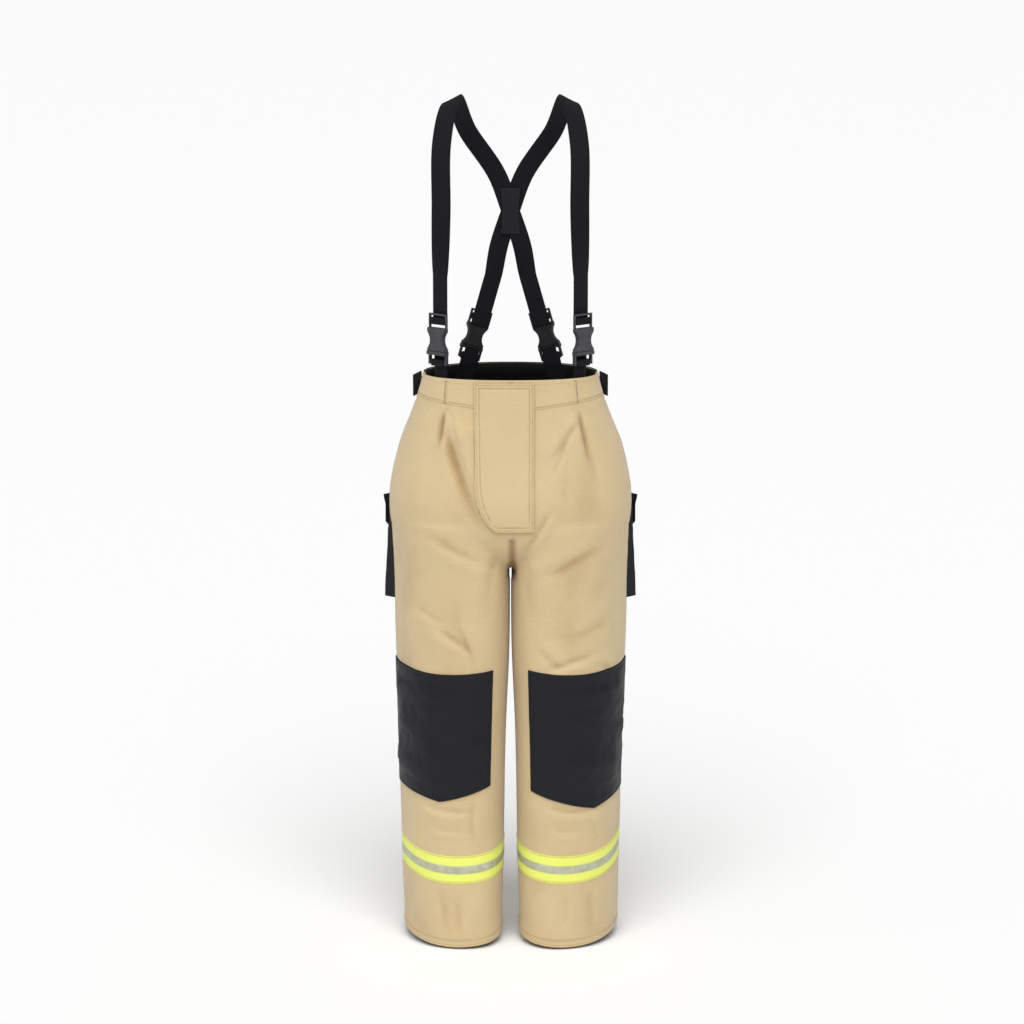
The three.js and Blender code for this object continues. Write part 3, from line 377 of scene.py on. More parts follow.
@cache
def woven_threads():
    """Over-and-under threads on a cloth map in metres: their height and a thread mask."""
    tree, given, out = group_tree(
        "Woven threads",
        [("Map", "NodeSocketVector", None), ("Thread", "NodeSocketFloat", 0.001),
         ("Slant", "NodeSocketFloat", 0.0)],
        [("Height", "NodeSocketFloat"), ("Mask", "NodeSocketFloat")])
    parts = add(tree, "ShaderNodeSeparateXYZ", {"Vector": given.outputs["Map"]})
    across = maths(tree, "DIVIDE", parts.outputs["X"], given.outputs["Thread"])
    down = maths(tree, "DIVIDE", parts.outputs["Y"], given.outputs["Thread"])
    slant = maths(tree, "MULTIPLY", down, given.outputs["Slant"])
    across = maths(tree, "ADD", across, slant)
    warp = maths(tree, "ABSOLUTE", maths(tree, "SINE", maths(tree, "MULTIPLY", across, math.pi)))
    weft = maths(tree, "ABSOLUTE", maths(tree, "SINE", maths(tree, "MULTIPLY", down, math.pi)))
    cell = maths(tree, "ADD", maths(tree, "FLOOR", across), maths(tree, "FLOOR", down))
    over = maths(tree, "PINGPONG", cell, 1.0)
    under = maths(tree, "SUBTRACT", 1.0, over)
    height = maths(tree, "ADD", maths(tree, "MULTIPLY", warp, over),
                   maths(tree, "MULTIPLY", weft, under))
    tree.links.new(height, out.inputs["Height"])
    tree.links.new(over, out.inputs["Mask"])
    return tree


@cache
def cloth_tone():
    """A cloth's colour with slow patches, fine flecks and its shade in the creases."""
    tree, given, out = group_tree(
        "Cloth tone",
        [("Colour", "NodeSocketColor", None), ("Shade", "NodeSocketColor", None),
         ("Crease shade", "NodeSocketFloat", 0.0), ("Patchy", "NodeSocketFloat", 0.5),
         ("Threads", "NodeSocketFloat", 0.5)],
        [("Colour", "NodeSocketColor"), ("Roughness", "NodeSocketFloat")])
    where = add(tree, "ShaderNodeTexCoord").outputs["Object"]
    slow = add(tree, "ShaderNodeTexNoise", {"Vector": where}, Scale=5.5, Detail=4.0)
    fine = add(tree, "ShaderNodeTexNoise", {"Vector": where}, Scale=420.0, Detail=2.0)
    patch = maths(tree, "MULTIPLY", maths(tree, "SUBTRACT", slow.outputs["Fac"], 0.46),
                  given.outputs["Patchy"])
    fleck = maths(tree, "MULTIPLY", maths(tree, "SUBTRACT", fine.outputs["Fac"], 0.5), 0.5)
    thread = maths(tree, "MULTIPLY", maths(tree, "SUBTRACT", given.outputs["Threads"], 0.5), 0.22)
    amount = maths(tree, "ADD", maths(tree, "ADD", patch, fleck), thread)
    # Painted shade: the crease input darkens the cloth towards its shade colour.
    amount = maths(tree, "ADD", amount, given.outputs["Crease shade"])
    factor = add(tree, "ShaderNodeClamp", {"Value": amount})
    mixed = add(tree, "ShaderNodeMix", {"Factor": factor.outputs[0]}, data_type="RGBA")
    tree.links.new(given.outputs["Colour"], mixed.inputs[6])
    tree.links.new(given.outputs["Shade"], mixed.inputs[7])
    rough = maths(tree, "ADD", maths(tree, "MULTIPLY", slow.outputs["Fac"], 0.16), 0.62)
    tree.links.new(mixed.outputs[2], out.inputs["Colour"])
    tree.links.new(rough, out.inputs["Roughness"])
    return tree


@cache
def grain():
    """Fine pitted grain, for moulded plastic, foam, thread and metal."""
    tree, given, out = group_tree(
        "Fine grain", [("Scale", "NodeSocketFloat", 300.0), ("Rough", "NodeSocketFloat", 0.5)],
        [("Height", "NodeSocketFloat"), ("Roughness", "NodeSocketFloat")])
    where = add(tree, "ShaderNodeTexCoord").outputs["Object"]
    pits = add(tree, "ShaderNodeTexNoise", {"Vector": where, "Scale": given.outputs["Scale"]},
               Detail=6.0)
    slow = add(tree, "ShaderNodeTexNoise", {"Vector": where}, Scale=18.0, Detail=3.0)
    spread = maths(tree, "MULTIPLY", maths(tree, "SUBTRACT", slow.outputs["Fac"], 0.5), 0.3)
    tree.links.new(pits.outputs["Fac"], out.inputs["Height"])
    tree.links.new(maths(tree, "ADD", given.outputs["Rough"], spread), out.inputs["Roughness"])
    return tree


def use_group(tree, make, links=None, **values):
    """Places a shared node group in a material, with its own values."""
    made = tree.nodes.new("ShaderNodeGroup")
    made.node_tree = make()
    for key, value in values.items():
        made.inputs[key].default_value = value
    for socket, source in (links or {}).items():
        tree.links.new(source, made.inputs[socket])
    return made


def blank_material(name):
    material = bpy.data.materials.new(name)
    material.use_nodes = True
    return material, material.node_tree, material.node_tree.nodes["Principled BSDF"]


def set_inputs(made, **values):
    for key, value in values.items():
        made.inputs[key.replace("_", " ")].default_value = value


def cloth_material(name, colour, shade, thread=0.0011, slant=0.0, bump=0.0003, sheen=0.25,
                   patchy=0.5, crease_shade=False, coat=0.0, rib=0.0, specular=0.3):
    """Woven cloth: colour and its shade, thread pitch and slant, and the sheen of its fibres."""
    material, tree, surface = blank_material(name)
    cloth = add(tree, "ShaderNodeUVMap", uv_map="cloth")
    weave = use_group(tree, woven_threads, {"Map": cloth.outputs["UV"]}, Thread=thread, Slant=slant)
    tone = use_group(tree, cloth_tone, {"Threads": weave.outputs["Mask"]},
                     Colour=(*colour, 1), Shade=(*shade, 1), Patchy=patchy)
    # Painted shade: the attribute darkens the colour in the creases.
    if crease_shade:
        folded = add(tree, "ShaderNodeAttribute", attribute_name="crease_shade")
        tree.links.new(folded.outputs["Fac"], tone.inputs["Crease shade"])
    height = weave.outputs["Height"]
    if rib:
        ribs = use_group(tree, woven_threads, {"Map": cloth.outputs["UV"]}, Thread=rib)
        height = maths(tree, "ADD", height, maths(tree, "MULTIPLY", ribs.outputs["Height"], 1.5))
    bumped = add(tree, "ShaderNodeBump", {"Height": height}, Strength=0.6, Distance=bump)
    tree.links.new(tone.outputs["Colour"], surface.inputs["Base Color"])
    tree.links.new(tone.outputs["Roughness"], surface.inputs["Roughness"])
    tree.links.new(bumped.outputs["Normal"], surface.inputs["Normal"])
    set_inputs(surface, Sheen_Weight=sheen, Sheen_Roughness=0.45, Coat_Weight=coat,
               Coat_Roughness=0.38, Specular_IOR_Level=specular)
    return material


def solid_material(name, colour, rough, metallic=0.0, scale=900.0, bump=0.00008, specular=0.5):
    """Moulded plastic, foam, thread or metal with a fine grain and paler scuffs."""
    material, tree, surface = blank_material(name)
    fine = use_group(tree, grain, Scale=scale, Rough=rough)
    where = add(tree, "ShaderNodeTexCoord").outputs["Object"]
    scuffs = add(tree, "ShaderNodeTexNoise", {"Vector": where}, Scale=70.0, Detail=5.0)
    ramp = add(tree, "ShaderNodeValToRGB", {"Fac": scuffs.outputs["Fac"]})
    scuffed = [c * 1.35 + 0.004 for c in colour]
    for stop, place, tone in zip(ramp.color_ramp.elements, (0.35, 0.75), (colour, scuffed)):
        stop.position = place
        stop.color = (*tone, 1)
    bumped = add(tree, "ShaderNodeBump", {"Height": fine.outputs["Height"]}, Strength=0.5,
                 Distance=bump)
    tree.links.new(ramp.outputs["Color"], surface.inputs["Base Color"])
    tree.links.new(fine.outputs["Roughness"], surface.inputs["Roughness"])
    tree.links.new(bumped.outputs["Normal"], surface.inputs["Normal"])
    set_inputs(surface, Metallic=metallic, Specular_IOR_Level=specular)
    return material


@cache
def finish(key):
    """The material of that key, made on its first use."""
    look = bpy.context.scene.bunker_looks
    tan = tuple(look.shell_colour)
    cloths = {
        "shell": dict(name="Tan rip-stop shell", colour=tan, shade=tuple(look.shell_shade),
                      thread=0.0012, bump=0.00028, sheen=0.3, patchy=0.45, crease_shade=True, rib=0.0085),
        "webbing": dict(name="Black webbing", colour=tuple(look.webbing_colour),
                        shade=(0.016, 0.016, 0.02), thread=0.0022, slant=1.0, bump=0.0005,
                        sheen=0.03, patchy=0.4, specular=0.12),
        "coated": dict(name="Black coated cloth", colour=tuple(look.coated_colour),
                       shade=(0.012, 0.013, 0.02), thread=0.0016, bump=0.00022, sheen=0.03,
                       patchy=0.6, coat=0.22, specular=0.15),
        "lining": dict(name="Black lining", colour=(0.004, 0.004, 0.005),
                       shade=(0.009, 0.009, 0.011), thread=0.0012, bump=0.0002, sheen=0.02,
                       specular=0.08),
        "liner": dict(name="Quilted liner", colour=(0.62, 0.57, 0.44), shade=(0.45, 0.4, 0.29),
                      thread=0.0014, sheen=0.3, rib=0.03),
        "lime": dict(name="Lime trim", colour=tuple(look.trim_colour), shade=(0.68, 0.72, 0.05),
                     thread=0.0010, bump=0.0002, sheen=0.2, patchy=0.35, crease_shade=True),
        "zip_tape": dict(name="Zip tape", colour=(0.02, 0.02, 0.022), shade=(0.04, 0.04, 0.045),
                         thread=0.0009, slant=1.0, bump=0.0002, sheen=0.2),
    }
    solids = {
        "thread": dict(name="Tan sewing thread", colour=tuple(c * 0.66 for c in tan), rough=0.7),
        "black_thread": dict(name="Black sewing thread", colour=(0.012, 0.012, 0.014), rough=0.6,
                             specular=0.2),
        "foam": dict(name="Knee foam", colour=(0.2, 0.21, 0.23), rough=0.85, scale=500.0,
                     bump=0.0003),
        "silver": dict(name="Silver stripe", colour=(0.40, 0.41, 0.285), rough=0.45,
                       metallic=0.25, scale=1500.0, bump=0.00012),
        "plastic": dict(name="Buckle plastic", colour=(0.032, 0.031, 0.036), rough=0.4,
                        specular=0.45),
        "dull_plastic": dict(name="Buckle plastic, dull side", colour=(0.012, 0.012, 0.014),
                             rough=0.55, specular=0.25),
        "brass": dict(name="Dull brass", colour=(0.52, 0.36, 0.14), rough=0.38, metallic=1.0,
                      scale=700.0),
    }
    if key in cloths:
        return cloth_material(**cloths[key])
    return solid_material(**solids[key])


# ------------------------------------------------------------------ the outer shell

VOXEL = 0.0035
SHELL = {}                           # the draped shell's surface, for the pieces sewn on it
SHELL_CLOTH = 0.0016
SPLIT_DEPTH, CHANNEL_DEPTH = 0.006, 0.005
CREASE_SHADE = 190                    # how fast the painted shade darkens the cloth with a groove's depth


def half_shell():
    """The wearer's left half of the trousers as one smooth skin, before its folds."""
    turn = np.linspace(0, TAU, 96, endpoint=False)
    trunk = [trunk_point(a, d) for d in np.arange(-0.02, CROTCH_DROP + 0.001, 0.01) for a in turn]
    leg = [leg_point(1, a, d) for d in np.arange(0.25, 1.021, 0.01) for a in turn]
    faces = capped_faces(len(trunk) // len(turn), len(turn))
    faces += [tuple(i + len(trunk) for i in face)
              for face in capped_faces(len(leg) // len(turn), len(turn))]
    half = new_object("half", trunk + leg, faces)
    return half, evened(half, VOXEL, 14)


def evened(obj, voxel, passes):
    """The object's mesh remade in even small faces, with its edges eased."""
    skin = obj.modifiers.new("Skin", "REMESH")
    skin.mode, skin.voxel_size = "VOXEL", voxel
    even = obj.modifiers.new("Even", "SMOOTH")
    even.factor, even.iterations = 0.5, passes
    return applied(obj)


def cut(mesh, point, normal):
    """Keeps the part of the mesh on the side that the normal points to."""
    work = bmesh.new()
    work.from_mesh(mesh)
    bmesh.ops.bisect_plane(work, geom=work.verts[:] + work.edges[:] + work.faces[:],
                           plane_co=point, plane_no=normal, clear_inner=True)
    work.to_mesh(mesh)
    work.free()


def cloth_map(points):
    """Each point's place on its leg's cloth, in metres round and up the leg."""
    sign = np.where(points[:, 0] < 0, -1, 1)
    angle = np.arctan2(points[:, 1], (points[:, 0] - sign * LEG_REACH) * sign)
    return np.stack([angle * 0.112, points[:, 2]], 1)


def set_painted_shade(obj, values):
    """Marks the painted shade of each point, deep in a fold or a stitch line, as a darker tone."""
    mark = obj.data.attributes.new("crease_shade", "FLOAT", "POINT")
    mark.data.foreach_set("value", np.asarray(values, dtype=np.float32))


def thicken(obj, thickness):
    """Gives a skin of cloth its thickness, to its inner side."""
    thick = obj.modifiers.new("Cloth", "SOLIDIFY")
    thick.thickness, thick.offset = thickness, -1


def plain_skin():
    """Both halves of the undraped skin, joined at the middle."""
    half, mesh = half_shell()
    cut(mesh, (0, 0, 0), (1, 0, 0))
    cut(mesh, (0, 0, 0), (0, 0, -1))
    cut(mesh, (0, 0, -1), (0, 0, 1))
    both = half.modifiers.new("Both", "MIRROR")
    both.use_clip = True
    both.merge_threshold = 0.0009
    smooth_faces(applied(half))
    return half


def front_split(points):
    """The deep fold where the front falls between the legs, under the fly flap."""
    x, y, z = points.T
    return (np.exp(-((x - 0.003) / 0.0055) ** 2) * (y < 0) * step(-z, 0.262, 0.275)
            * (1 - step(-z, 0.34, 0.36)))


def zip_channel(points):
    """The zip lies in a shallow channel between the front panels."""
    x, y, z = points.T
    return (np.exp(-(x / 0.0105) ** 6) * (y < 0) * step(-z, 0.004, 0.012)
            * (1 - step(-z, 0.222, 0.232)))


HEM_LIFT = 0.013


def hem_lift(points):
    """The trouser ends hang lowest at the front and back of each leg."""
    x, y, z = points.T
    across = np.abs(x) - 0.1
    share = across**2 / (across**2 + y**2 + 1e-9)
    return HEM_LIFT * share * step(-z, 0.80, 0.97)


def crotch_shade(points):
    """Painted shade at the crotch and inner legs."""
    x, z = np.abs(points[:, 0]), points[:, 2]
    return 0.35 * np.exp(-(x / 0.016) ** 2) * step(-z, 0.27, 0.36)


def build_shell():
    """The shell, draped, with its front fold, its zip channel and its lifted ends."""
    shell = plain_skin()
    mesh = shell.data
    plain, normals = vertices_of(mesh), normals_of(mesh)
    move = drape(plain, normals)
    fly = np.exp(-(plain[:, 0] / 0.045) ** 4) * (plain[:, 1] < 0) * (plain[:, 2] > -0.27)
    move *= 1 - 0.85 * fly
    inner = step(np.abs(plain[:, 0]), 0.003, 0.03)
    below = step(-plain[:, 2], 0.30, 0.345)
    move *= 1 - below * (1 - inner)
    split = front_split(plain)
    draped = plain + normals * (move - SPLIT_DEPTH * split)[:, None]
    draped[:, 2] += hem_lift(draped)
    channelled = draped - normals * (CHANNEL_DEPTH * zip_channel(plain))[:, None]
    set_vertices(mesh, channelled)
    shell.name = mesh.name = "outer_shell"
    set_map(mesh, cloth_map(draped))
    # Painted shade: the cloth darkens in the folds' grooves, at the crotch and in the front split.
    shade = np.clip(-move * CREASE_SHADE, 0, 0.85) + crotch_shade(draped) + 0.9 * split
    set_painted_shade(shell, np.clip(shade, 0, 1))
    SHELL["plain"] = plain
    SHELL["faces"] = [tuple(p.vertices) for p in mesh.polygons]
    for surface, points in (("tree", draped), ("zip_tree", channelled)):
        SHELL[surface] = BVHTree.FromPolygons([tuple(p) for p in points], SHELL["faces"])
    thicken(shell, SHELL_CLOTH)
    mesh.materials.append(finish("shell"))
    belong(shell, "trousers", "shell_tan",
           *[f"{part}_panel_{side}" for part in ("front", "back") for side in SIDES])


# ------------------------------------------------------------------ pieces laid on the shell

def hit(origin, direction, surface="tree"):
    """The shell's point and normal where a line meets it, or else near the line."""
    tree = SHELL[surface]
    where, normal, _, _ = tree.ray_cast(Vector(origin), Vector(direction))
    if where is None:
        where, normal, _, _ = tree.find_nearest(Vector(origin) + 0.3 * Vector(direction))
    return np.array(where), np.array(normal)


def nearest(point):
    """The shell's point and normal next to a point."""
    where, normal, _, _ = SHELL["tree"].find_nearest(Vector(point))
    return np.array(where), np.array(normal)


def on_front(x, z, surface="tree"):
    return hit((x, -0.5, z), (0, 1, 0), surface)


def on_back(x, z):
    return hit((x, 0.5, z), (0, -1, 0))


def round_leg(sign, angle, z):
    """The shell where a line to the leg's axis meets it. Angle 0 is outward, negative in front."""
    axis = leg_axis(sign, -z)
    way = (sign * math.cos(angle), math.sin(angle), 0)
    reach = 0.3 if math.cos(angle) > -0.2 else min(0.3, abs(axis) / max(-math.cos(angle), 0.01))
    return hit((axis + way[0] * reach, way[1] * reach, z), (-way[0], -way[1], 0))


def round_waist(angle, z):
    way = (math.cos(angle), math.sin(angle), 0)
    return hit((way[0] * 0.4, way[1] * 0.4 + 0.011, z), (-way[0], -way[1], 0))


def ends(low, high, pitch, radius, marks=(), unit=1.0):
    """Positions from low to high, closer together at both ends and at marked grooves."""
    near = list(radius * np.array([0, 0.12, 0.35, 0.7, 1.2]))
    for mark in marks:
        near += [(mark + off) / unit for off in (-0.0013, -0.0006, 0, 0.0006, 0.0013)]
    near = np.array(sorted(near))
    start = near[-1] + pitch / 3
    inside = np.arange(low + start, high - start, pitch)
    return np.concatenate([low + near, inside, (high - near)[::-1]])


def lay_out(rows, columns, cell):
    """A grid's shell points, edge distances and cloth map, from what each cell gives."""
    cells = [[cell(row, column) for column in columns] for row in rows]
    return [[[one[k] for one in row] for row in cells] for k in range(3)]


def laid(name, where, depth, uv, height, finish_name, edge=0.0012, under=0.0, grooves=(),
         closed=False, extra=None):
    """A sewn-on piece: a grid of shell points and its distance from the piece's edge."""
    depth = np.asarray(depth)
    rows, columns = depth.shape
    points = np.array([[w[0] for w in row] for row in where])
    normals = np.array([[w[1] for w in row] for row in where])
    for _ in range(3):               # threads bridge the finest creases below
        inner = normals.copy()
        inner[1:-1] = (normals[:-2] + normals[2:] + 2 * normals[1:-1]) / 4
        normals = inner / np.linalg.norm(inner, axis=2, keepdims=True)
    roll = np.sqrt(np.clip(1 - (1 - np.clip(depth / edge, 0, 1)) ** 2, 0, 1))
    rise = under * (depth > 0) * np.clip(depth / edge + 0.2, 0, 1) + height * roll - 0.0005
    for groove in grooves:
        rise = rise - 0.0007 * np.exp(-((depth - groove) / 0.0009) ** 2)
    if extra is not None:
        rise = rise + extra
    verts = (points + normals * rise[..., None]).reshape(-1, 3)
    faces = grid_faces(rows, columns, closed)
    obj = new_object(name, verts, faces, finish(finish_name), np.asarray(uv).reshape(-1, 2))
    # Painted shade: the cloth darkens along its stitch grooves and at the piece's very edge.
    sewn = sum((np.exp(-((depth - groove) / 0.0008) ** 2) for groove in grooves), 0 * depth)
    set_painted_shade(obj, np.clip(sewn * 0.42 + (depth < 0.0003) * 0.3, 0, 0.8).ravel())
    middle = faces[len(faces) // 2]
    a, b, c = (verts[middle[i]] for i in range(3))
    outward = normals.reshape(-1, 3)[middle[0]]
    if np.dot(np.cross(b - a, c - b), outward) < 0:
        obj.data.flip_normals()
    return obj


def stitches(name, body, slot_name, rows, finish_name="thread", pitch=0.0034, length=0.0024):
    """Sewing stitches along rows of (point, normal): small raised lozenges."""
    verts, faces = [], []
    for row in rows:
        spots = np.array([p for p, _ in row])
        normals = np.array([n for _, n in row])
        run = np.concatenate([[0], np.cumsum(np.linalg.norm(np.diff(spots, axis=0), axis=1))])
        for s in np.arange(pitch / 2, run[-1], pitch):
            i = min(int(np.searchsorted(run, s)), len(run) - 1)
            t = (s - run[i - 1]) / max(run[i] - run[i - 1], 1e-9)
            p = spots[i - 1] * (1 - t) + spots[i] * t
            n = normals[i - 1] * (1 - t) + normals[i] * t
            n = n / np.linalg.norm(n)
            along_run = spots[i] - spots[i - 1]
            u = along_run - n * np.dot(along_run, n)
            u = u / max(np.linalg.norm(u), 1e-9) * length / 2
            v = np.cross(n, u) / (length / 2) * 0.00042
            base = len(verts)
            top = n * 0.00045
            verts += [p - u, p - u * 0.5 + v, p + u * 0.5 + v, p + u, p + u * 0.5 - v,
                      p - u * 0.5 - v, p - u * 0.5 + top, p + u * 0.5 + top]
            faces += [tuple(base + k for k in f) for f in (
                (0, 1, 6), (1, 2, 7, 6), (2, 3, 7), (3, 4, 7), (4, 5, 6, 7), (5, 0, 6))]
    obj = new_object(name, verts, faces, finish(finish_name))
    return belong(obj, body, slot_name)


def lifted(spot, rise):
    """A shell point and its normal, raised off the shell."""
    return spot[0] + spot[1] * rise, spot[1]


# ------------------------------------------------------------------ waist, fly and fastening

STITCH_GAP = 0.0035                  # from an edge to the stitches that follow it
STITCH_RISE = 0.0012
FRONT_MIDDLE = -1.5708               # angle of the front's middle, round the waist
BAND_ROLL = ((0.0010, 0.0018), (0.0004, 0.0030), (-0.0015, 0.0038))   # height, way inward


def band_bottom(x, front):
    """Height of the waistband's lower seam: in front it dips to the middle."""
    return -(0.051 - 0.016 * min(abs(x) / 0.15, 1) ** 2) if front else -BAND_HEIGHT


def band_piece(name, low, high, front):
    """Part of the waistband, from its lower seam up over the top edge and down inside."""
    angles = ends(low, high, 0.02, 0.004, (STITCH_GAP,), WAIST_REACH)
    ups = ends(0, 1, 0.045, 0.03, (STITCH_GAP, 0.0075), -band_bottom(0, front))
    top = -0.0006 if front else -0.0026

    def cell(t, a):
        bottom = band_bottom(0.15 * math.cos(a), front)
        z = bottom + (top - bottom) * t
        gap = min(z - bottom, min(a - low, high - a) * WAIST_REACH, 0.02)
        return round_waist(a, z), gap, (a * WAIST_REACH, z)

    where, depth, uv = lay_out(ups, angles, cell)
    edge, edge_depth, edge_uv = where[-1], depth[-1], uv[-1]
    for height, inward in BAND_ROLL if front else ():
        where.append([(p * (1, 1, 0) - n * inward + (0, 0, height), n) for p, n in edge])
        depth.append(edge_depth)
        uv.append([(u, v - height) for u, v in edge_uv])
    extra = np.zeros((len(where), len(angles)))
    extra[len(ups):] = -0.0012
    band = laid(f"{name}_cloth", where, depth, uv, 0.0017, "shell", grooves=(STITCH_GAP,),
                extra=extra)
    belong(band, "trousers", "shell_tan", name)


def build_waistband():
    band_piece("waistband_front_left", FRONT_MIDDLE, -0.05, True)
    band_piece("waistband_front_right", 0.05 - math.pi, FRONT_MIDDLE, True)
    band_piece("waistband_back", 0.0, math.pi, False)
    rows = []
    for start, stop, front in ((0.06 - math.pi, -0.06, True), (0.05, math.pi - 0.05, False)):
        low_row, top_row = [], []
        for a in np.arange(start, stop, 0.012):
            low = band_bottom(0.15 * math.cos(a), front) + STITCH_GAP
            low_row.append(lifted(round_waist(a, low), STITCH_RISE))
            top_row.append(lifted(round_waist(a, -0.006), STITCH_RISE))
        rows += [low_row, top_row]
    stitches("waistband_stitches", "trousers", "shell_tan", rows)


def build_pleat_lips():
    """The folded lips of the pleats, sewn into the waistband."""
    for side, top_x, low_x in (("right", -0.1075, -0.1105), ("left", 0.1085, 0.1125)):
        def middle(z):
            return top_x + (low_x - top_x) * (z / -0.040)

        front_piece(f"pleat_lip_{side}", "trousers", "shell_tan", [],
                    lambda z: middle(z) - 0.0034, lambda z: middle(z) + 0.0034, -0.040, -0.003,
                    0.0022, "shell", under=0.0012, edge=0.0009, grooves=(0.0034,))


def build_linings():
    """The waist's black lining and the quilted liner under the shell."""
    ups = np.array([0.0, -0.0015, -0.006, -0.02, -0.035, -0.05, -0.058])
    angles = np.linspace(0, TAU, 160, endpoint=False)
    verts, uv = [], []
    for inward, order, face in ((0.0044, ups, 1), (0.0066, ups[::-1], -1)):
        for z in order:
            for a in angles:
                x, y, _ = trunk_point(a, -z)
                back = float(step(math.sin(a), 0.02, 0.12))
                bound = back * max(0, 1 + z / 0.004)
                normal = np.array((math.cos(a), math.sin(a), 0))
                spot = np.array((x, y, z + 0.0012 * bound))
                channel = 0.004 * math.exp(-(x / 0.015) ** 4) * (y < 0)
                verts.append(spot - normal * ((inward + channel) * (1 - bound) - 0.0006 * bound))
                uv.append((a * WAIST_REACH, z * face))
    rows = 2 * len(ups)
    faces = grid_faces(rows, len(angles), closed=True)
    last = (rows - 1) * len(angles)
    for i in range(len(angles)):
        after = (i + 1) % len(angles)
        faces.append((last + i, last + after, after, i))
    lining = new_object("waist_lining_cloth", verts, faces, finish("lining"), uv)
    belong(lining, "trousers", "black_coated", "waist_lining")
    liner = new_object("thermal_liner_cloth", SHELL["plain"], SHELL["faces"])
    mesh = liner.data
    cut(mesh, (0, 0, -0.05), (0, 0, -1))
    cut(mesh, (0, 0, -0.974), (0, 0, 1))
    points, normals = vertices_of(mesh), normals_of(mesh)
    uv = cloth_map(points)
    quilt = np.minimum(np.abs(((uv[:, 0] + uv[:, 1]) / 0.05) % 1 - 0.5),
                       np.abs(((uv[:, 0] - uv[:, 1]) / 0.05) % 1 - 0.5)) * 2
    puff = 0.0016 * np.clip(quilt, 0, 1) ** 0.5
    set_vertices(mesh, points - normals * (0.0085 - puff)[:, None])
    set_map(mesh, uv)
    mesh.materials.append(finish("liner"))
    thicken(liner, 0.002)
    belong(liner, "trousers", "liner_cream", "thermal_liner")


FLAP_TOP, FLAP_BOTTOM = -0.0045, -0.254
FLAP_SEWN, FLAP_FREE = 0.0405, -0.061
FLAP_CURVE = (0.045, 0.102)          # width and height of the flap's rounded corner
FLAP_LIFT = 0.0052
FLAP_STITCHES = (0.0035, 0.0085)     # two rows, from the flap's edge
ZIP_TOOTH = np.array((0.0016, 0.0007, 0.0009))   # half of a tooth's width, depth and height


def flap_edge(z):
    """The flap's free edge at a height: straight, then curving in to the bottom."""
    low = z - (FLAP_BOTTOM + FLAP_CURVE[1])
    if low >= 0:
        return FLAP_FREE
    t = min(-low / FLAP_CURVE[1], 1)
    return FLAP_FREE + FLAP_CURVE[0] * (1 - math.sqrt(max(1 - t * t, 0)))


def flap_gap(x, z):
    """Distance from a point in the flap to its nearest edge."""
    gap = min(FLAP_SEWN - x, FLAP_TOP - z, z - FLAP_BOTTOM)
    curve = min(math.hypot(flap_edge(w) - x, w - z)
                for w in np.linspace(z - 0.03, z + 0.03, 13) if w >= FLAP_BOTTOM)
    return max(min(gap, curve), 0)


def front_piece(name, body, slot_name, nodes, left, right, bottom, top, height, look,
                under=0.0, edge=0.0012, grooves=(), pitch=0.005, gap=None, extra=None,
                surface="tree"):
    """A piece sewn on the front between two edges, each given at a height."""
    where, depth, uv = [], [], []
    shares = ends(0, 1, pitch / 0.1, 0.02, grooves, right(top) - left(top))
    for z in ends(bottom, top, pitch, 0.002, grooves):
        xs = left(z) + (right(z) - left(z)) * shares
        where.append([on_front(x, z, surface) for x in xs])
        depth.append([gap(x, z) if gap else min(x - xs[0], xs[-1] - x, z - bottom, top - z)
                      for x in xs])
        uv.append([(x, z) for x in xs])
    wave = None if extra is None else np.array([[extra(u, v) for u, v in row] for row in uv])
    obj = laid(name, where, depth, uv, height, look, edge, under, grooves, extra=wave)
    return belong(obj, body, slot_name, *nodes)


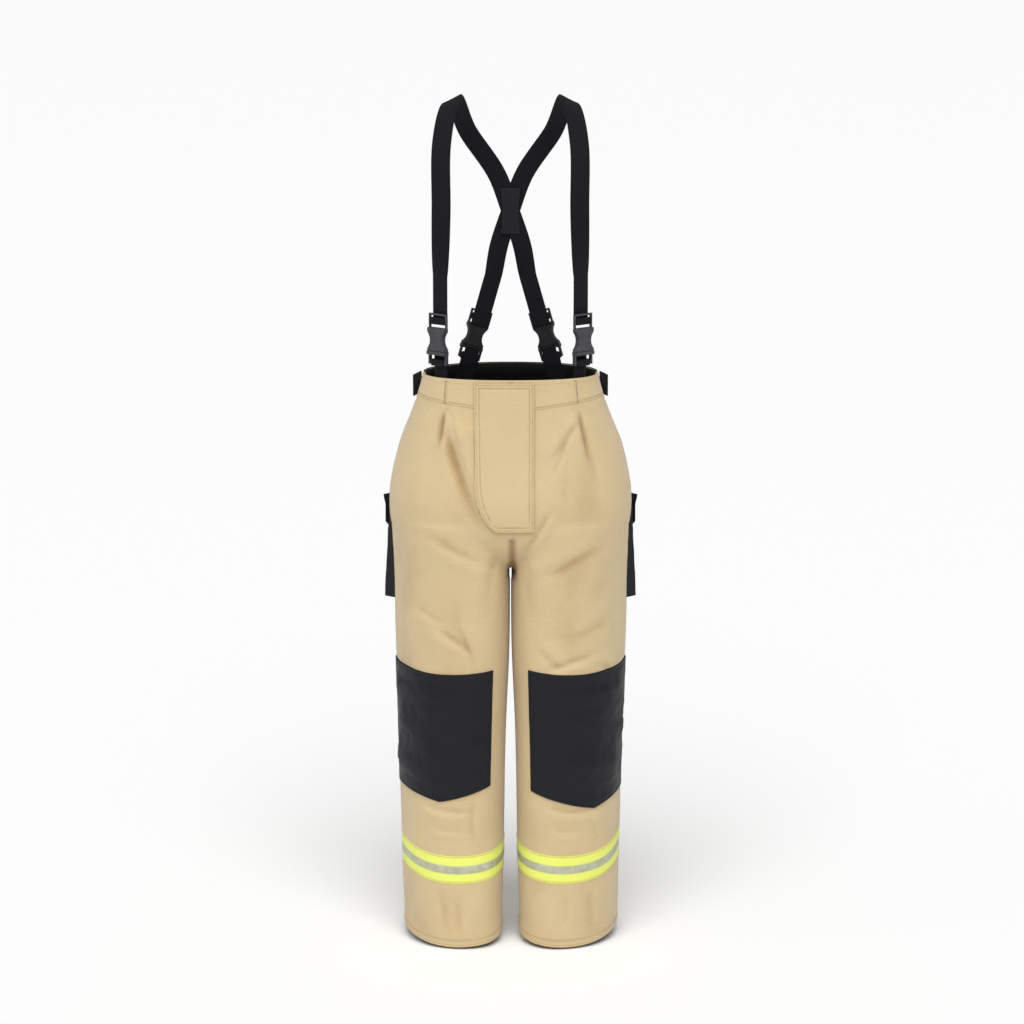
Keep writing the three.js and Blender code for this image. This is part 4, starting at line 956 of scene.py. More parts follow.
def build_fly():
    front_piece("zip_tape_cloth", "trousers", "zip_tape", ["zipper_tape"],
                lambda z: -0.014, lambda z: 0.014, -0.219, -0.014, 0.0007, "zip_tape",
                surface="zip_tree")
    verts, faces = [], []
    for k, z in enumerate(np.arange(-0.216, -0.030, 0.0026)):
        spot, normal = on_front(0, z, "zip_tree")
        centre = spot + normal * 0.0006 + (0.0009 if k % 2 else -0.0009, 0, 0)
        add_box(verts, faces, centre - ZIP_TOOTH, centre + ZIP_TOOTH)
    teeth = new_object("zip_teeth", verts, faces, finish("brass"))
    belong(teeth, "trousers", "zip_brass")
    front_piece("fly_placket_cloth", "trousers", "shell_tan", ["fly_placket"],
                lambda z: -0.056, lambda z: -0.020, -0.225, -0.006, 0.0012, "shell",
                grooves=(0.003,))
    front_piece("fly_hook_cloth", "fly", "zip_tape", ["fly_hook_strip"],
                lambda z: -0.052, lambda z: -0.026, -0.215, -0.030, 0.0009, "zip_tape",
                under=0.0012)

    def ease(x, z):
        free = step(-x, -0.01, 0.06)
        return (free * (0.0012 + 0.0008 * math.sin(z * 46 + 0.6)) + 0.0006 * noise.noise(
            (x * 30, 2, z * 16)))

    flap = front_piece("fly_flap_cloth", "fly", "shell_tan", ["fly_flap"], flap_edge,
                       lambda z: FLAP_SEWN, FLAP_BOTTOM, FLAP_TOP, 0.0016, "shell",
                       under=FLAP_LIFT, edge=0.0011, grooves=FLAP_STITCHES, pitch=0.004,
                       gap=flap_gap, extra=ease)
    thicken(flap, SHELL_CLOTH)
    inset = FLAP_STITCHES[1]

    def sewn(x, z):
        return lifted(on_front(x, z), FLAP_LIFT + 0.0009 + float(ease(x, z)))

    down = np.arange(FLAP_TOP - 0.004, FLAP_BOTTOM + 0.006, -0.003)
    rows = [[sewn(FLAP_SEWN - gap, z) for z in down] for gap in FLAP_STITCHES]
    free = [(flap_edge(z) + inset, z) for z in np.arange(FLAP_TOP - 0.01, FLAP_BOTTOM + 0.1, -0.003)]
    for a in np.linspace(0, 1, 30) * math.pi / 2:
        free.append((FLAP_FREE + FLAP_CURVE[0] - (FLAP_CURVE[0] - inset) * math.cos(a),
                     FLAP_BOTTOM + FLAP_CURVE[1] - (FLAP_CURVE[1] - inset) * math.sin(a)))
    free += [(x, FLAP_BOTTOM + inset) for x in np.arange(-0.012, FLAP_SEWN - 0.013, 0.004)]
    rows.append([sewn(x, z) for x, z in free])
    across = np.arange(FLAP_FREE + 0.004, FLAP_SEWN - 0.003, 0.003)
    rows.append([sewn(x, FLAP_TOP - inset) for x in across])
    stitches("fly_stitches", "fly", "shell_tan", rows)


# ------------------------------------------------------------------ legs

def knee_edges(sign, angle):
    """Top and bottom of a knee patch at an angle round the leg."""
    x = leg_axis(sign, 0.6) + sign * 0.092 * math.cos(angle)
    t = np.clip((abs(x) - 0.043) / 0.15, 0, 1)
    top = -0.501 - 0.007 * math.sin(t * math.pi)
    low = (-0.706, -0.737, -0.722) if sign < 0 else (-0.716, -0.751, -0.733)
    middle = 0.52 if sign < 0 else 0.66
    bulge = float(np.interp(t, (0, middle, 1), (0, 1, 0)))
    bulge *= 1.25 - 0.25 * bulge
    return top, (low[0] + (low[2] - low[0]) * t) * (1 - bulge) + low[1] * bulge


KNEE_SPAN = (-2.20, 0.10)            # angles of a patch's inner and outer edge, round the leg
KNEE_STITCHES = 0.0055               # from the patch's edge
PAD_ROWS, PAD_COLUMNS = slice(16, -16), slice(14, -14)   # the pad's share of its patch


def build_knees(side):
    sign = SIDES[side]
    low, high = KNEE_SPAN

    def cell(t, a):
        top, bottom = knee_edges(sign, a)
        z = top + (bottom - top) * t
        gap = min(top - z, z - bottom, (a - low) * LEG_REACH, (high - a) * LEG_REACH)
        return round_leg(sign, a, z), gap, (a * LEG_REACH, z)

    downs = ends(0, 1, 0.018, 0.008, (KNEE_STITCHES,), 0.21)
    angles = ends(low, high, 0.03, 0.02, (KNEE_STITCHES,), LEG_REACH)
    where, depth, uv = lay_out(downs, angles, cell)
    depth, uv = np.array(depth), np.array(uv)
    pillow = 0.0026 * step(depth, 0.018, 0.038)
    crumple = np.array([[0.0034 * noise.noise((u * 20 + sign, 3, v * 26))
                         + 0.0009 * noise.noise((u * 55, sign, v * 60))
                         - 0.0012 * max(0, 1 - abs(noise.noise((u * 14 + 9, sign * 4, v * 30))) / 0.09)
                         for u, v in row] for row in uv])
    crumple *= step(depth, 0.003, 0.014)
    patch = laid(f"knee_patch_{side}_cloth", where, depth, uv, 0.0022, "coated", 0.0014,
                 grooves=(KNEE_STITCHES,), under=0.001, extra=np.maximum(pillow + crumple, -0.0006))
    belong(patch, "trousers", "black_coated", f"knee_patch_{side}")
    pad_depth = depth[PAD_ROWS, PAD_COLUMNS]
    pad = laid(f"knee_pad_{side}_foam", [row[PAD_COLUMNS] for row in where[PAD_ROWS]],
               np.maximum(pad_depth - pad_depth.min(), 0), uv[PAD_ROWS, PAD_COLUMNS], 0.0011,
               "foam", 0.004)
    belong(pad, "trousers", "knee_foam", f"knee_pad_{side}")
    path = [(a, 0) for a in np.arange(low + 0.06, high - 0.06, 0.03)]
    path += [(high - 0.055, t) for t in np.linspace(0.03, 0.97, 60)]
    path += [(a, 1) for a in np.arange(high - 0.06, low + 0.06, -0.03)]
    path += [(low + 0.055, t) for t in np.linspace(0.97, 0.03, 60)]
    loop = []
    for a, t in path:
        top, bottom = knee_edges(sign, a)
        z = (top - KNEE_STITCHES) + (bottom - top + 2 * KNEE_STITCHES) * t
        loop.append(lifted(round_leg(sign, a, z), 0.0011))
    stitches(f"knee_stitches_{side}", "trousers", "black_coated", [loop], "black_thread")


TRIM_DIP = 0.016                     # the trim hangs this much lower in front and behind
TRIM, STRIPE, HEM = (-0.884, -0.834), (-0.8675, -0.8505), (-0.9995, -0.984)   # bottoms and tops


def build_bands(side):
    """The lime trim and its silver stripe, and the hem, all the way round one leg."""
    sign = SIDES[side]
    angles = np.linspace(-math.pi, math.pi, 150, endpoint=False)

    def dip(a, share):
        rise = 0.006 * max(0, math.cos(a)) ** 6 * (sign > 0 and share == 1)
        return TRIM_DIP * share * math.cos(a) ** 2 + rise

    def ring(name, edges, height, look, slot_name, node, under=0.0, groove=0.003, share=1):
        low, high = edges

        def cell(z, a):
            return round_leg(sign, a, z + dip(a, share)), min(z - low, high - z), (a * LEG_REACH, z)

        zs = low + (high - low) * ends(0, 1, 0.11, 0.02, (groove,), high - low)
        where, depth, uv = lay_out(zs, angles, cell)
        obj = laid(name, where, depth, uv, height, look, 0.0008, under, (groove,), closed=True)
        belong(obj, "trousers", slot_name, node)

    def round_rows(zs, share, rise):
        return [[lifted(round_leg(sign, a, z + dip(a, share)), rise)
                 for a in np.linspace(-math.pi, math.pi, 160)] for z in zs]

    hem_share = HEM_LIFT / TRIM_DIP
    ring(f"trim_{side}_cloth", TRIM, 0.0012, "lime", "lime_trim",
         f"hi_vis_tape_{side}", groove=0.0022)
    ring(f"stripe_{side}_tape", STRIPE, 0.0006, "silver", "silver_trim",
         f"reflective_stripe_{side}", under=0.0012, groove=0.0012)
    ring(f"hem_{side}_cloth", HEM, 0.0014, "shell", "shell_tan", f"leg_hem_{side}",
         share=hem_share)
    stitches(f"hem_stitches_{side}", "trousers", "shell_tan",
             round_rows((-0.9868, -0.9898), hem_share, STITCH_RISE))
    stitches(f"trim_stitches_{side}", "trousers", "lime_trim",
             round_rows((-0.8364, -0.8816), 1, 0.001))


SEAM_STITCHES = 0.0028               # from a felled seam's edge
SEAM_STEPS = np.array([-1, -0.9, -0.7, -0.55, -0.4, 0, 0.4, 0.55, 0.7, 0.9, 1])


def seam(name, spots, width, rows=True):
    """A felled seam along shell points: a raised strip with its two rows of stitches."""
    points = np.array([s[0] for s in spots])
    normals = np.array([s[1] for s in spots])
    run = np.gradient(points, axis=0)
    run /= np.linalg.norm(run, axis=1, keepdims=True)
    across = np.cross(run, normals)
    across /= np.linalg.norm(across, axis=1, keepdims=True)
    offsets = SEAM_STEPS * width / 2
    where = [[nearest(p + v * o) for o in offsets] for p, v in zip(points, across)]
    depth = np.array([[width / 2 - abs(o) for o in offsets] for _ in spots])
    along_run = np.concatenate([[0], np.cumsum(np.linalg.norm(np.diff(points, axis=0), axis=1))])
    uv = [[(o, s) for o in offsets] for s in along_run]
    strip = laid(name, where, depth, uv, 0.0011, "shell", 0.0016, grooves=(SEAM_STITCHES,))
    belong(strip, "trousers", "shell_tan")
    if rows:
        lines = [[lifted(nearest(p + v * o), 0.0008) for p, v in zip(points, across)]
                 for o in (SEAM_STITCHES - width / 2, width / 2 - SEAM_STITCHES)]
        stitches(f"{name}_stitches", "trousers", "shell_tan", lines)


def build_seams():
    for side, sign in SIDES.items():
        down = np.arange(-0.05, -0.982, -0.008)
        seam(f"outseam_{side}", [round_leg(sign, 0.14, z) for z in down], 0.011)
        seam(f"inseam_{side}",
             [round_leg(sign, math.pi - 0.25, z) for z in np.arange(-0.38, -0.982, -0.008)], 0.009)
        yoke = [round_leg(sign, a, -0.205 - 0.02 * math.sin(a)) for a in np.arange(0.5, 2.22, 0.05)]
        seam(f"back_yoke_{side}", yoke, 0.009)
    seam("back_rise", [on_back(0.0, z) for z in np.arange(-0.050, -0.318, -0.006)], 0.010)


def build_hand_pockets():
    """The welted hand-pocket openings in the side seams."""
    for side, sign in SIDES.items():
        zs = np.arange(-0.188, -0.262, -0.004)
        for k, (at, width) in enumerate(((-0.10, 0.010), (0.02, 0.007))):
            seam(f"hand_pocket_{side}_{k}", [round_leg(sign, at, z) for z in zs], width,
                 rows=k == 0)


# ------------------------------------------------------------------ softened fittings

def softened(name, node, body, look, voxel, rise, scale, turn=0.0, passes=6, shape=None):
    """A cloth piece over a fitting's own form: rounded edges, ripples and a cloth map."""
    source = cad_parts[node]
    mesh = source.data.copy()
    mesh.transform(source.matrix_world)
    mesh.materials.clear()
    obj = placed(name, mesh)
    mesh = evened(obj, voxel, passes)
    points, normals = vertices_of(mesh), normals_of(mesh)
    if shape:
        points = np.array([shape(p) for p in points])
    ripple = np.array([noise.noise((p[0] * scale, p[1] * scale, p[2] * scale)) for p in points])
    set_vertices(mesh, points + normals * (ripple * rise)[:, None])
    smooth_faces(mesh)
    across = points[:, 0] * math.cos(turn) + points[:, 1] * math.sin(turn)
    set_map(mesh, np.stack([across, points[:, 2]], 1))
    # Painted shade: the cloth darkens in the ripples' hollows.
    set_painted_shade(obj, np.clip(-ripple * 0.5, 0, 0.4))
    mesh.materials.clear()
    mesh.materials.append(finish(look))
    belong(obj, body, f"black_{look}", node)


POCKET_AIM = math.radians(40)


def pocket_way(p):
    """The way a cargo pocket faces, out from the hip at its side."""
    return np.array((math.copysign(math.cos(POCKET_AIM), p[0]), math.sin(POCKET_AIM), 0))


def hang_pocket(p):
    """A pocket lies close to the hip at its top and hangs away from it at its bottom."""
    p = p - pocket_way(p) * 0.0045 * float(step(p[2], -0.40, -0.25)) + (0, 0, -0.009)
    on_shell, normal = nearest(p)
    return p - normal * 0.9 * max(0.004 - np.dot(p - on_shell, normal), 0)


def hang_flap(p):
    """The pocket's flap leans in below its hinge to lie on the pocket."""
    return p - pocket_way(p) * 0.0040 * float(step(-p[2], 0.228, 0.246))


def build_pockets(side):
    turn = -SIDES[side] * (math.pi / 2 - POCKET_AIM)
    softened(f"cargo_pocket_{side}_cloth", f"cargo_pocket_{side}", "trousers", "coated",
             0.0010, 0.0006, 34.0, turn, 3, hang_pocket)
    softened(f"cargo_flap_{side}_cloth", f"cargo_flap_{side}", f"cargo_lid_{side}", "coated",
             0.0010, 0.0004, 30.0, turn, 3, hang_flap)


def build_takeups(side):
    softened(f"takeup_strap_{side}_cloth", f"takeup_strap_{side}", "trousers", "webbing",
             0.0012, 0.0002, 50.0, math.pi / 2)
    softened(f"takeup_tab_{side}_cloth", f"takeup_tab_{side}", f"takeup_pull_{side}", "webbing",
             0.0009, 0.0002, 50.0, math.pi / 2)


# ------------------------------------------------------------------ suspenders

WEBBING_WIDTH, WEBBING = 0.032, 0.002
CHEST, SHOULDER, BLADE = (0.116, -0.094, 0.290), (0.098, -0.004, 0.468), (0.072, 0.084, 0.404)
CROSSING_Y, CROSSING_Z = 0.112, 0.266
SHOULDER_SLOPE = math.radians(28)
STRAP_SPACING = WEBBING + 0.0006
BUCKLE_X = {"front": 0.119, "rear": 0.074}
LIFTS = {"front": 0.040, "rear": 0.026}
LEANS = {"front": 0, "rear": math.radians(17)}
TAB_DEPTH = 0.0056                   # how far inside the shell the tabs' outer face lies
WEBBING_LINE = 0.0053                # the webbing's middle, behind a buckle's own middle
STRAP_STEPS = 320
CROSS_LEAN = (0.94, 0, -0.34)
PLASTICS = {"front": "plastic", "rear": "dull_plastic"}


def buckle_frame(end):
    """Rotation and origin of a buckle on the wearer's left side."""
    front = end == "front"
    inward = TAB_DEPTH + WEBBING / 2
    _, waist, to_front, to_back = TRUNK[1]
    depth, width = (to_front if front else to_back) - inward, waist - inward
    t = BUCKLE_X[end] / width
    rest = 1 - t**ROUNDNESS
    bend = math.atan((depth / width) * rest ** (1 / ROUNDNESS - 1) * t ** (ROUNDNESS - 1))
    turn = bend if front else math.pi - bend
    matrix = Euler((0, 0, turn)).to_matrix() @ Euler((0, LEANS[end], 0)).to_matrix()
    at = Vector((BUCKLE_X[end], (-1 if front else 1) * depth * rest ** (1 / ROUNDNESS), 0))
    return matrix, at + matrix @ Vector((0, -WEBBING_LINE, LIFTS[end]))


def curve_through(stops, count):
    """Points, tangents and widths along a smooth curve through (point, width direction) stops."""
    points = np.array([s[0] for s in stops], dtype=float)
    sides = np.array([s[1] for s in stops], dtype=float)
    gaps = np.sqrt(np.linalg.norm(np.diff(points, axis=0), axis=1))
    knots = np.concatenate([[0], np.cumsum(gaps)])
    slope = np.gradient(points, knots, axis=0)
    where, tangents, widths = [], [], []
    for s in np.linspace(0, knots[-1], count):
        i = min(int(np.searchsorted(knots, s, "right")) - 1, len(knots) - 2)
        h = knots[i + 1] - knots[i]
        t = (s - knots[i]) / h
        where.append(bend_between(t, points[i], points[i + 1], slope[i] * h, slope[i + 1] * h))
        tangents.append((points[i + 1] - points[i]) * 6 * t * (1 - t) / h
                        + slope[i] * (3 * t**2 - 4 * t + 1) + slope[i + 1] * (3 * t**2 - 2 * t))
        widths.append(sides[i] * (1 - t) + sides[i + 1] * t)
    tangents = np.array(tangents)
    tangents /= np.linalg.norm(tangents, axis=1, keepdims=True)
    widths = np.array(widths)
    widths -= tangents * (widths * tangents).sum(1, keepdims=True)
    widths /= np.linalg.norm(widths, axis=1, keepdims=True)
    return np.array(where), tangents, widths


def webbing_section(width):
    """Cross-section of flat webbing: full in the middle, with a rounded selvage at each edge."""
    half, thin = width / 2, WEBBING / 2
    upper = [(-half, 0), (-half + 0.0004, thin * 0.8), (-half + 0.0016, thin),
             (-half + 0.0030, thin * 0.62), (-half + 0.0042, thin), (-half * 0.5, thin), (0, thin)]
    upper += [(-u, v) for u, v in reversed(upper[:-1])]
    lower = [(u, -v) for u, v in reversed(upper[1:-1])]
    return upper + lower


def ribbon(name, side, where, tangents, widths, width, *nodes):
    """A length of webbing on one side of the body, along points with tangents and widths."""
    section = webbing_section(width)
    run = np.concatenate([[0], np.cumsum(np.linalg.norm(np.diff(where, axis=0), axis=1))])
    verts, uv = [], []
    for length, p, t, w in zip(run, where, tangents, widths):
        out = np.cross(t, w)
        verts += [p + w * u + out * v for u, v in section]
        uv += [(u, length) for u, _ in section]
    faces = capped_faces(len(where), len(section))
    strip = new_object(name, verts, faces, finish("webbing"), uv)
    if SIDES[side] < 0:
        strip.data.flip_normals()
    belong(strip, "trousers", "black_webbing", *nodes)


def buckle_stops(end, heights):
    """Points and width directions of the webbing at a buckle, on the wearer's left."""
    turn, at = buckle_frame(end)
    across = np.array(turn @ Vector((1, 0, 0)))
    return [(np.array(at + turn @ Vector((0, WEBBING_LINE, z))), across) for z in heights]


def build_strap(side):
    """One shoulder strap, from its front buckle over the shoulder to the far rear buckle."""
    sign = SIDES[side]
    crossing = CROSSING_Y + STRAP_SPACING / 2 * sign
    far = np.array([-1, 1, 1])
    stops = buckle_stops("front", (0.0503, 0.0850, 0.1203, 0.1350))
    stops += [(CHEST, (1, 0, 0)), ((CHEST[0] - 0.001, CHEST[1] + 0.016, CHEST[2] + 0.110), (1, 0, 0)),
              (SHOULDER, (math.cos(SHOULDER_SLOPE), 0, -math.sin(SHOULDER_SLOPE))),
              (BLADE, (0.9, -0.22, -0.38)),
              ((0.024, crossing, CROSSING_Z + 0.064), CROSS_LEAN),
              ((0.0, crossing, CROSSING_Z), CROSS_LEAN),
              ((-0.020, crossing, CROSSING_Z - 0.060), CROSS_LEAN)]
    stops += [(p * far, w * far) for p, w in buckle_stops("rear", (0.1350, 0.1203, 0.0850, 0.043))]
    mirror = np.array([sign, 1, 1])
    where, tangents, widths = curve_through(stops, STRAP_STEPS)
    run = np.arange(STRAP_STEPS)
    rise = np.array([noise.noise((0, sign * 3, s * 0.045)) for s in run]) * 0.0009
    rise *= step(run, 85, 120) * (1 - step(run, 215, 250))
    where = (where + np.cross(tangents, widths) * rise[:, None]) * mirror
    tangents, widths = tangents * mirror, widths * mirror
    ribbon(f"shoulder_strap_{side}_webbing", side, where, tangents, widths, WEBBING_WIDTH,
           f"shoulder_strap_{side}")
    rows = []
    for i in (7, 9, 11, 307, 309, 311):
        out = np.cross(tangents[i], widths[i]) * sign
        rows.append([(where[i] + widths[i] * u + out * 0.00105, out)
                     for u in np.linspace(-0.013, 0.013, 12)])
    stitches(f"strap_stitches_{side}", "trousers", "black_webbing", rows, "black_thread",
             0.0028, 0.0021)


def build_tabs(side):
    mirror = np.array([SIDES[side], 1, 1])
    for end in ENDS:
        stops = buckle_stops(end, np.linspace(-0.0165, 0.0045, 12))
        where, width = (np.array(values) * mirror for values in zip(*stops))
        up = np.array([buckle_frame(end)[0] @ Vector((0, 0, 1))] * len(stops)) * mirror
        ribbon(f"{end}_tab_fold_{side}", side, where, up, width, 0.027)
        softened(f"{end}_tab_{side}_webbing", f"{end}_tab_{side}", "trousers", "webbing",
                 0.0009, 0.0001, 60.0, passes=4)
        softened(f"{end}_loop_{side}_webbing", f"{end}_loop_{side}", f"{end}_release_{side}",
                 "webbing", 0.0007, 0.00008, 60.0, passes=4)


def build_cross_patch():
    softened("cross_patch_cloth", "cross_patch", "trousers", "coated", 0.0006, 0.00012, 60.0,
             passes=3)
    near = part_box("cross_patch")[0][1] - 0.0001
    corners = ((-0.017, 0.040), (-0.0135, 0), (-0.017, -0.040), (0.017, -0.040), (0.0135, 0),
               (0.017, 0.040), (-0.017, 0.040))
    wide, high = 1 - SEAM_STITCHES / 0.016, 1 - SEAM_STITCHES / 0.038
    row = [(np.array((x * wide, near, CROSSING_Z + z * high)), np.array((0, -1, 0)))
           for x, z in corners]
    stitches("cross_patch_stitches", "trousers", "black_coated", [row], "black_thread")


# ------------------------------------------------------------------ moulded and metal fittings

def rounded(obj, width, segments, angle):
    """Rounds the edges that turn by more than the angle, in degrees."""
    edges = obj.modifiers.new("Rounded edges", "BEVEL")
    edges.width, edges.segments = width, segments
    edges.limit_method = "ANGLE"
    edges.angle_limit = math.radians(angle)
    edges.harden_normals = True


def dress(node, look, bevel):
    """A moulded or metal fitting keeps its form and gains rounded edges and its finish."""
    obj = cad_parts[node]
    obj.data.materials.clear()
    obj.data.materials.append(finish(look))
    rounded(obj, bevel, 2, 35)
    smooth_faces(obj.data)
    sharp = obj.data.attributes.new("sharp_edge", "BOOLEAN", "EDGE")
    sharp.data.foreach_set("value", [False] * len(obj.data.edges))


# Half outline of a socket's body, from its mouth to its frame, in the buckle's own x and z
SOCKET_BODY = ((0.0200, 0.0063), (0.0197, 0.0100), (0.0168, 0.0135), (0.0142, 0.0185),
               (0.0133, 0.0240), (0.0138, 0.0300), (0.0160, 0.0350), (0.0188, 0.0388),
               (0.0198, 0.0420), (0.0192, 0.0463))
SOCKET_MIDDLE = 0.0263
SOCKET_LEVELS = ((-0.0080, 0.93), (-0.0066, 1.0), (0.0028, 1.0), (0.0039, 0.95))   # y, share
# Opposite corners of the frame's two sides and its bar
SOCKET_FRAME = (((-0.0200, 0.0448), (-0.0166, 0.0703)), ((0.0166, 0.0448), (0.0200, 0.0703)),
                ((-0.0172, 0.0669), (0.0172, 0.0703)))
FRAME_HALF = 0.0022                  # half of the frame's thickness


def build_socket(end, side):
    """A buckle's socket: a waisted body that shows the prongs at its sides, and its frame."""
    turn, at = buckle_frame(end)
    verts = []
    outline = [(x, z) for x, z in SOCKET_BODY] + [(-x, z) for x, z in reversed(SOCKET_BODY)]
    for y, share in SOCKET_LEVELS:
        verts += [(x * share, y, SOCKET_MIDDLE + (z - SOCKET_MIDDLE) * (share + 1) / 2)
                  for x, z in outline]
    faces = capped_faces(len(SOCKET_LEVELS), len(outline))
    for (x0, z0), (x1, z1) in SOCKET_FRAME:
        add_box(verts, faces, (x0, -FRAME_HALF, z0), (x1, FRAME_HALF, z1))
    mirror = np.array([SIDES[side], 1, 1])
    world = [np.array(at + turn @ Vector(v)) * mirror for v in verts]
    if SIDES[side] < 0:
        faces = [tuple(reversed(face)) for face in faces]
    socket = new_object(f"{end}_socket_{side}_moulding", world, faces, finish(PLASTICS[end]))
    rounded(socket, 0.0007, 3, 25)
    belong(socket, f"{end}_release_{side}", "buckle_plastic", f"{end}_socket_{side}")


def build_buckles():
    for side in SIDES:
        for end in ENDS:
            build_socket(end, side)
            for part, bevel in (("plug", 0.0006), ("prong_a", 0.0004), ("prong_b", 0.0004)):
                dress(f"{end}_{part}_{side}", PLASTICS[end], bevel)


def build_zip_metal():
    for node in ("zipper_slider", "zipper_pull"):
        dress(node, "brass", 0.0003)


# ------------------------------------------------------------------ stage

def lamp(name, place, strength, spread):
    """A distant soft light that shines from a place towards the object."""
    light = bpy.data.lights.new(name, "SUN")
    light.energy, light.angle = strength, spread
    obj = bpy.data.objects.new(name, light)
    obj.location = place
    obj.rotation_euler = (-Vector(place)).to_track_quat("-Z", "Y").to_euler()
    bpy.context.scene.collection.objects.link(obj)


FLOOR_REACH, FLOOR_HEIGHT = 70, -1.004


def build_stage():
    look = bpy.context.scene.bunker_stage
    pale, _, surface = blank_material("Pale floor")
    set_inputs(surface, Base_Color=(0.95, 0.95, 0.95, 1), Roughness=0.9)
    verts = [(x * FLOOR_REACH, y * FLOOR_REACH, FLOOR_HEIGHT)
             for x, y in ((-1, -1), (1, -1), (1, 1), (-1, 1))]
    new_object("floor", verts, [(0, 1, 2, 3)], pale)
    lamp("overhead", (-0.1, -2.8, 3.8), look.overhead, math.radians(50))
    lamp("side", (-3.0, -1.2, 1.4), look.side, math.radians(40))
    scene = bpy.context.scene
    world = bpy.data.worlds.new("Studio")
    world.use_nodes = True
    backing = world.node_tree.nodes["Background"]
    backing.inputs["Color"].default_value = (1, 1, 1, 1)
    backing.inputs["Strength"].default_value = look.surroundings
    scene.world = world
    scene.view_settings.view_transform = "Standard"
    scene.view_settings.look = "None"
    scene.view_settings.exposure = look.exposure
    lens = bpy.data.cameras.new("Camera")
    lens.lens, lens.sensor_width = 118.05, 36
    camera = bpy.data.objects.new("Camera", lens)
    camera.location = (0.0026, -5.70, 0.90)
    camera.rotation_euler = (math.radians(78.65), 0, 0)
    scene.collection.objects.link(camera)
    scene.camera = camera


# ------------------------------------------------------------------ settings, operators and panel

def colour(name, default, text):
    return bpy.props.FloatVectorProperty(
        name=name, description=text, default=default, size=3, min=0, max=1, subtype="COLOR")


def strength(name, default, text):
    return bpy.props.FloatProperty(name=name, description=text, default=default, min=0)


class BunkerLooks(bpy.types.PropertyGroup):
    """Colours of the cloths."""
    shell_colour: colour("Shell", (0.63, 0.49, 0.275), "Tan outer shell cloth")
    shell_shade: colour("Shell shade", (0.36, 0.22, 0.09), "Tan cloth deep in a fold")
    webbing_colour: colour("Webbing", (0.0065, 0.0065, 0.0085), "Suspender webbing")
    coated_colour: colour("Coated cloth", (0.0055, 0.0058, 0.0085), "Knee patches and pockets")
    trim_colour: colour("Leg trim", (0.80, 0.86, 0.17), "Lime leg trim")


class BunkerStage(bpy.types.PropertyGroup):
    """Lights of the stage."""
    overhead: strength("Overhead", 2.6, "Large soft light, high in front and to the left")
    side: strength("Side", 0.12, "Weaker soft light from the camera's left")
    surroundings: strength("Surroundings", 0.37, "White surroundings")
    exposure: bpy.props.FloatProperty(
        name="Exposure", description="Exposure of the view", default=0.0)


class BUNKER_OT_shell(bpy.types.Operator):
    """Make the draped outer shell."""
    bl_idname = "bunker.shell"
    bl_label = "Outer shell"
    bl_options = {"REGISTER", "UNDO"}

    def execute(self, context):
        build_shell()
        return {"FINISHED"}


class BUNKER_OT_linings(bpy.types.Operator):
    """Make the waist lining and thermal liner."""
    bl_idname = "bunker.linings"
    bl_label = "Linings"
    bl_options = {"REGISTER", "UNDO"}

    def execute(self, context):
        build_linings()
        return {"FINISHED"}


class BUNKER_OT_seams(bpy.types.Operator):
    """Sew the felled seams and hand pockets."""
    bl_idname = "bunker.seams"
    bl_label = "Seams"
    bl_options = {"REGISTER", "UNDO"}

    def execute(self, context):
        build_seams()
        build_hand_pockets()
        return {"FINISHED"}


class BUNKER_OT_waistband(bpy.types.Operator):
    """Make the waistband and pleat lips."""
    bl_idname = "bunker.waistband"
    bl_label = "Waistband"
    bl_options = {"REGISTER", "UNDO"}

    def execute(self, context):
        build_waistband()
        build_pleat_lips()
        return {"FINISHED"}


class BUNKER_OT_fly(bpy.types.Operator):
    """Make the zip, placket, hook strip and fly flap."""
    bl_idname = "bunker.fly"
    bl_label = "Fly"
    bl_options = {"REGISTER", "UNDO"}

    def execute(self, context):
        build_fly()
        return {"FINISHED"}


class BUNKER_OT_knees(bpy.types.Operator):
    """Make the knee pads and patches."""
    bl_idname = "bunker.knees"
    bl_label = "Knee patches"
    bl_options = {"REGISTER", "UNDO"}

    def execute(self, context):
        for side in SIDES:
            build_knees(side)
        return {"FINISHED"}


class BUNKER_OT_bands(bpy.types.Operator):
    """Make the leg trim and hems."""
    bl_idname = "bunker.bands"
    bl_label = "Leg trim and hems"
    bl_options = {"REGISTER", "UNDO"}

    def execute(self, context):
        for side in SIDES:
            build_bands(side)
        return {"FINISHED"}


class BUNKER_OT_pockets(bpy.types.Operator):
    """Make the cargo pockets and flaps."""
    bl_idname = "bunker.pockets"
    bl_label = "Cargo pockets"
    bl_options = {"REGISTER", "UNDO"}

    def execute(self, context):
        for side in SIDES:
            build_pockets(side)
        return {"FINISHED"}


class BUNKER_OT_takeups(bpy.types.Operator):
    """Make the waist take-up straps."""
    bl_idname = "bunker.takeups"
    bl_label = "Take-up straps"
    bl_options = {"REGISTER", "UNDO"}

    def execute(self, context):
        for side in SIDES:
            build_takeups(side)
        return {"FINISHED"}


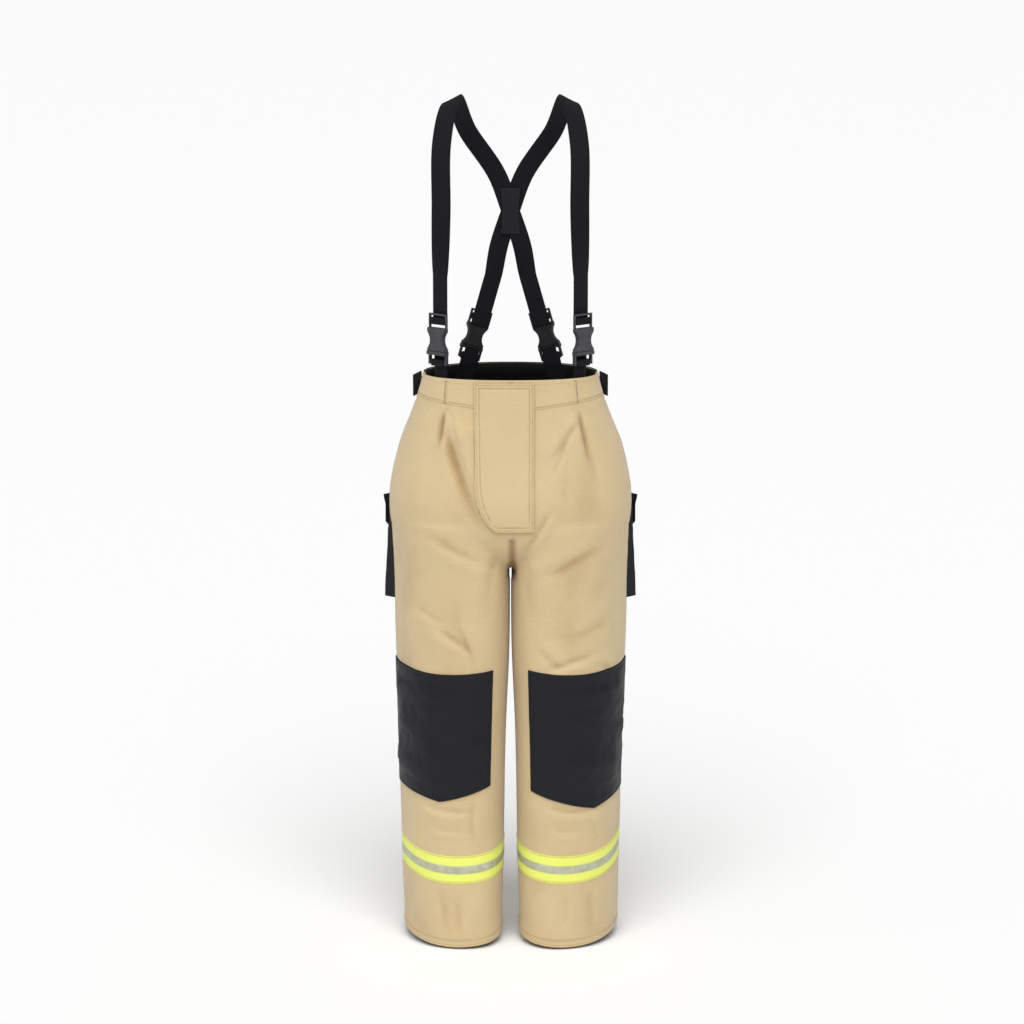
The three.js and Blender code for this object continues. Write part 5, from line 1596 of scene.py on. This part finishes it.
class BUNKER_OT_straps(bpy.types.Operator):
    """Make the shoulder straps, tabs, loops and cross patch."""
    bl_idname = "bunker.straps"
    bl_label = "Suspenders"
    bl_options = {"REGISTER", "UNDO"}

    def execute(self, context):
        for side in SIDES:
            build_strap(side)
        for side in SIDES:
            build_tabs(side)
        build_cross_patch()
        return {"FINISHED"}


class BUNKER_OT_buckles(bpy.types.Operator):
    """Make the sockets and finish the buckles and the zip metal."""
    bl_idname = "bunker.buckles"
    bl_label = "Buckles"
    bl_options = {"REGISTER", "UNDO"}

    def execute(self, context):
        build_buckles()
        build_zip_metal()
        return {"FINISHED"}


class BUNKER_OT_stage(bpy.types.Operator):
    """Make the floor, surroundings, lights and camera."""
    bl_idname = "bunker.stage"
    bl_label = "Stage"
    bl_options = {"REGISTER", "UNDO"}

    def execute(self, context):
        build_stage()
        return {"FINISHED"}


OPERATORS = (
    BUNKER_OT_shell, BUNKER_OT_linings, BUNKER_OT_seams, BUNKER_OT_waistband,
    BUNKER_OT_fly, BUNKER_OT_knees, BUNKER_OT_bands, BUNKER_OT_pockets,
    BUNKER_OT_takeups, BUNKER_OT_straps, BUNKER_OT_buckles, BUNKER_OT_stage,
)


class BUNKER_PT_pieces(bpy.types.Panel):
    """Lists the operators that make the bunker pants."""
    bl_label = "Bunker Pants"
    bl_space_type = "VIEW_3D"
    bl_region_type = "UI"
    bl_category = "Bunker Pants"

    def draw(self, context):
        for made in OPERATORS:
            self.layout.operator(made.bl_idname)
        for group in (context.scene.bunker_looks, context.scene.bunker_stage):
            for name in group.bl_rna.properties.keys():
                if name not in ("rna_type", "name"):
                    self.layout.prop(group, name)


CLASSES = (BunkerLooks, BunkerStage, *OPERATORS, BUNKER_PT_pieces)


def register():
    for made in CLASSES:
        bpy.utils.register_class(made)
    bpy.types.Scene.bunker_looks = bpy.props.PointerProperty(type=BunkerLooks)
    bpy.types.Scene.bunker_stage = bpy.props.PointerProperty(type=BunkerStage)


def unregister():
    del bpy.types.Scene.bunker_looks
    del bpy.types.Scene.bunker_stage
    for made in reversed(CLASSES):
        bpy.utils.unregister_class(made)


def main():
    register()
    for made in OPERATORS:
        getattr(bpy.ops.bunker, made.bl_idname.split(".")[1])()


if __name__ == "__main__":
    main()
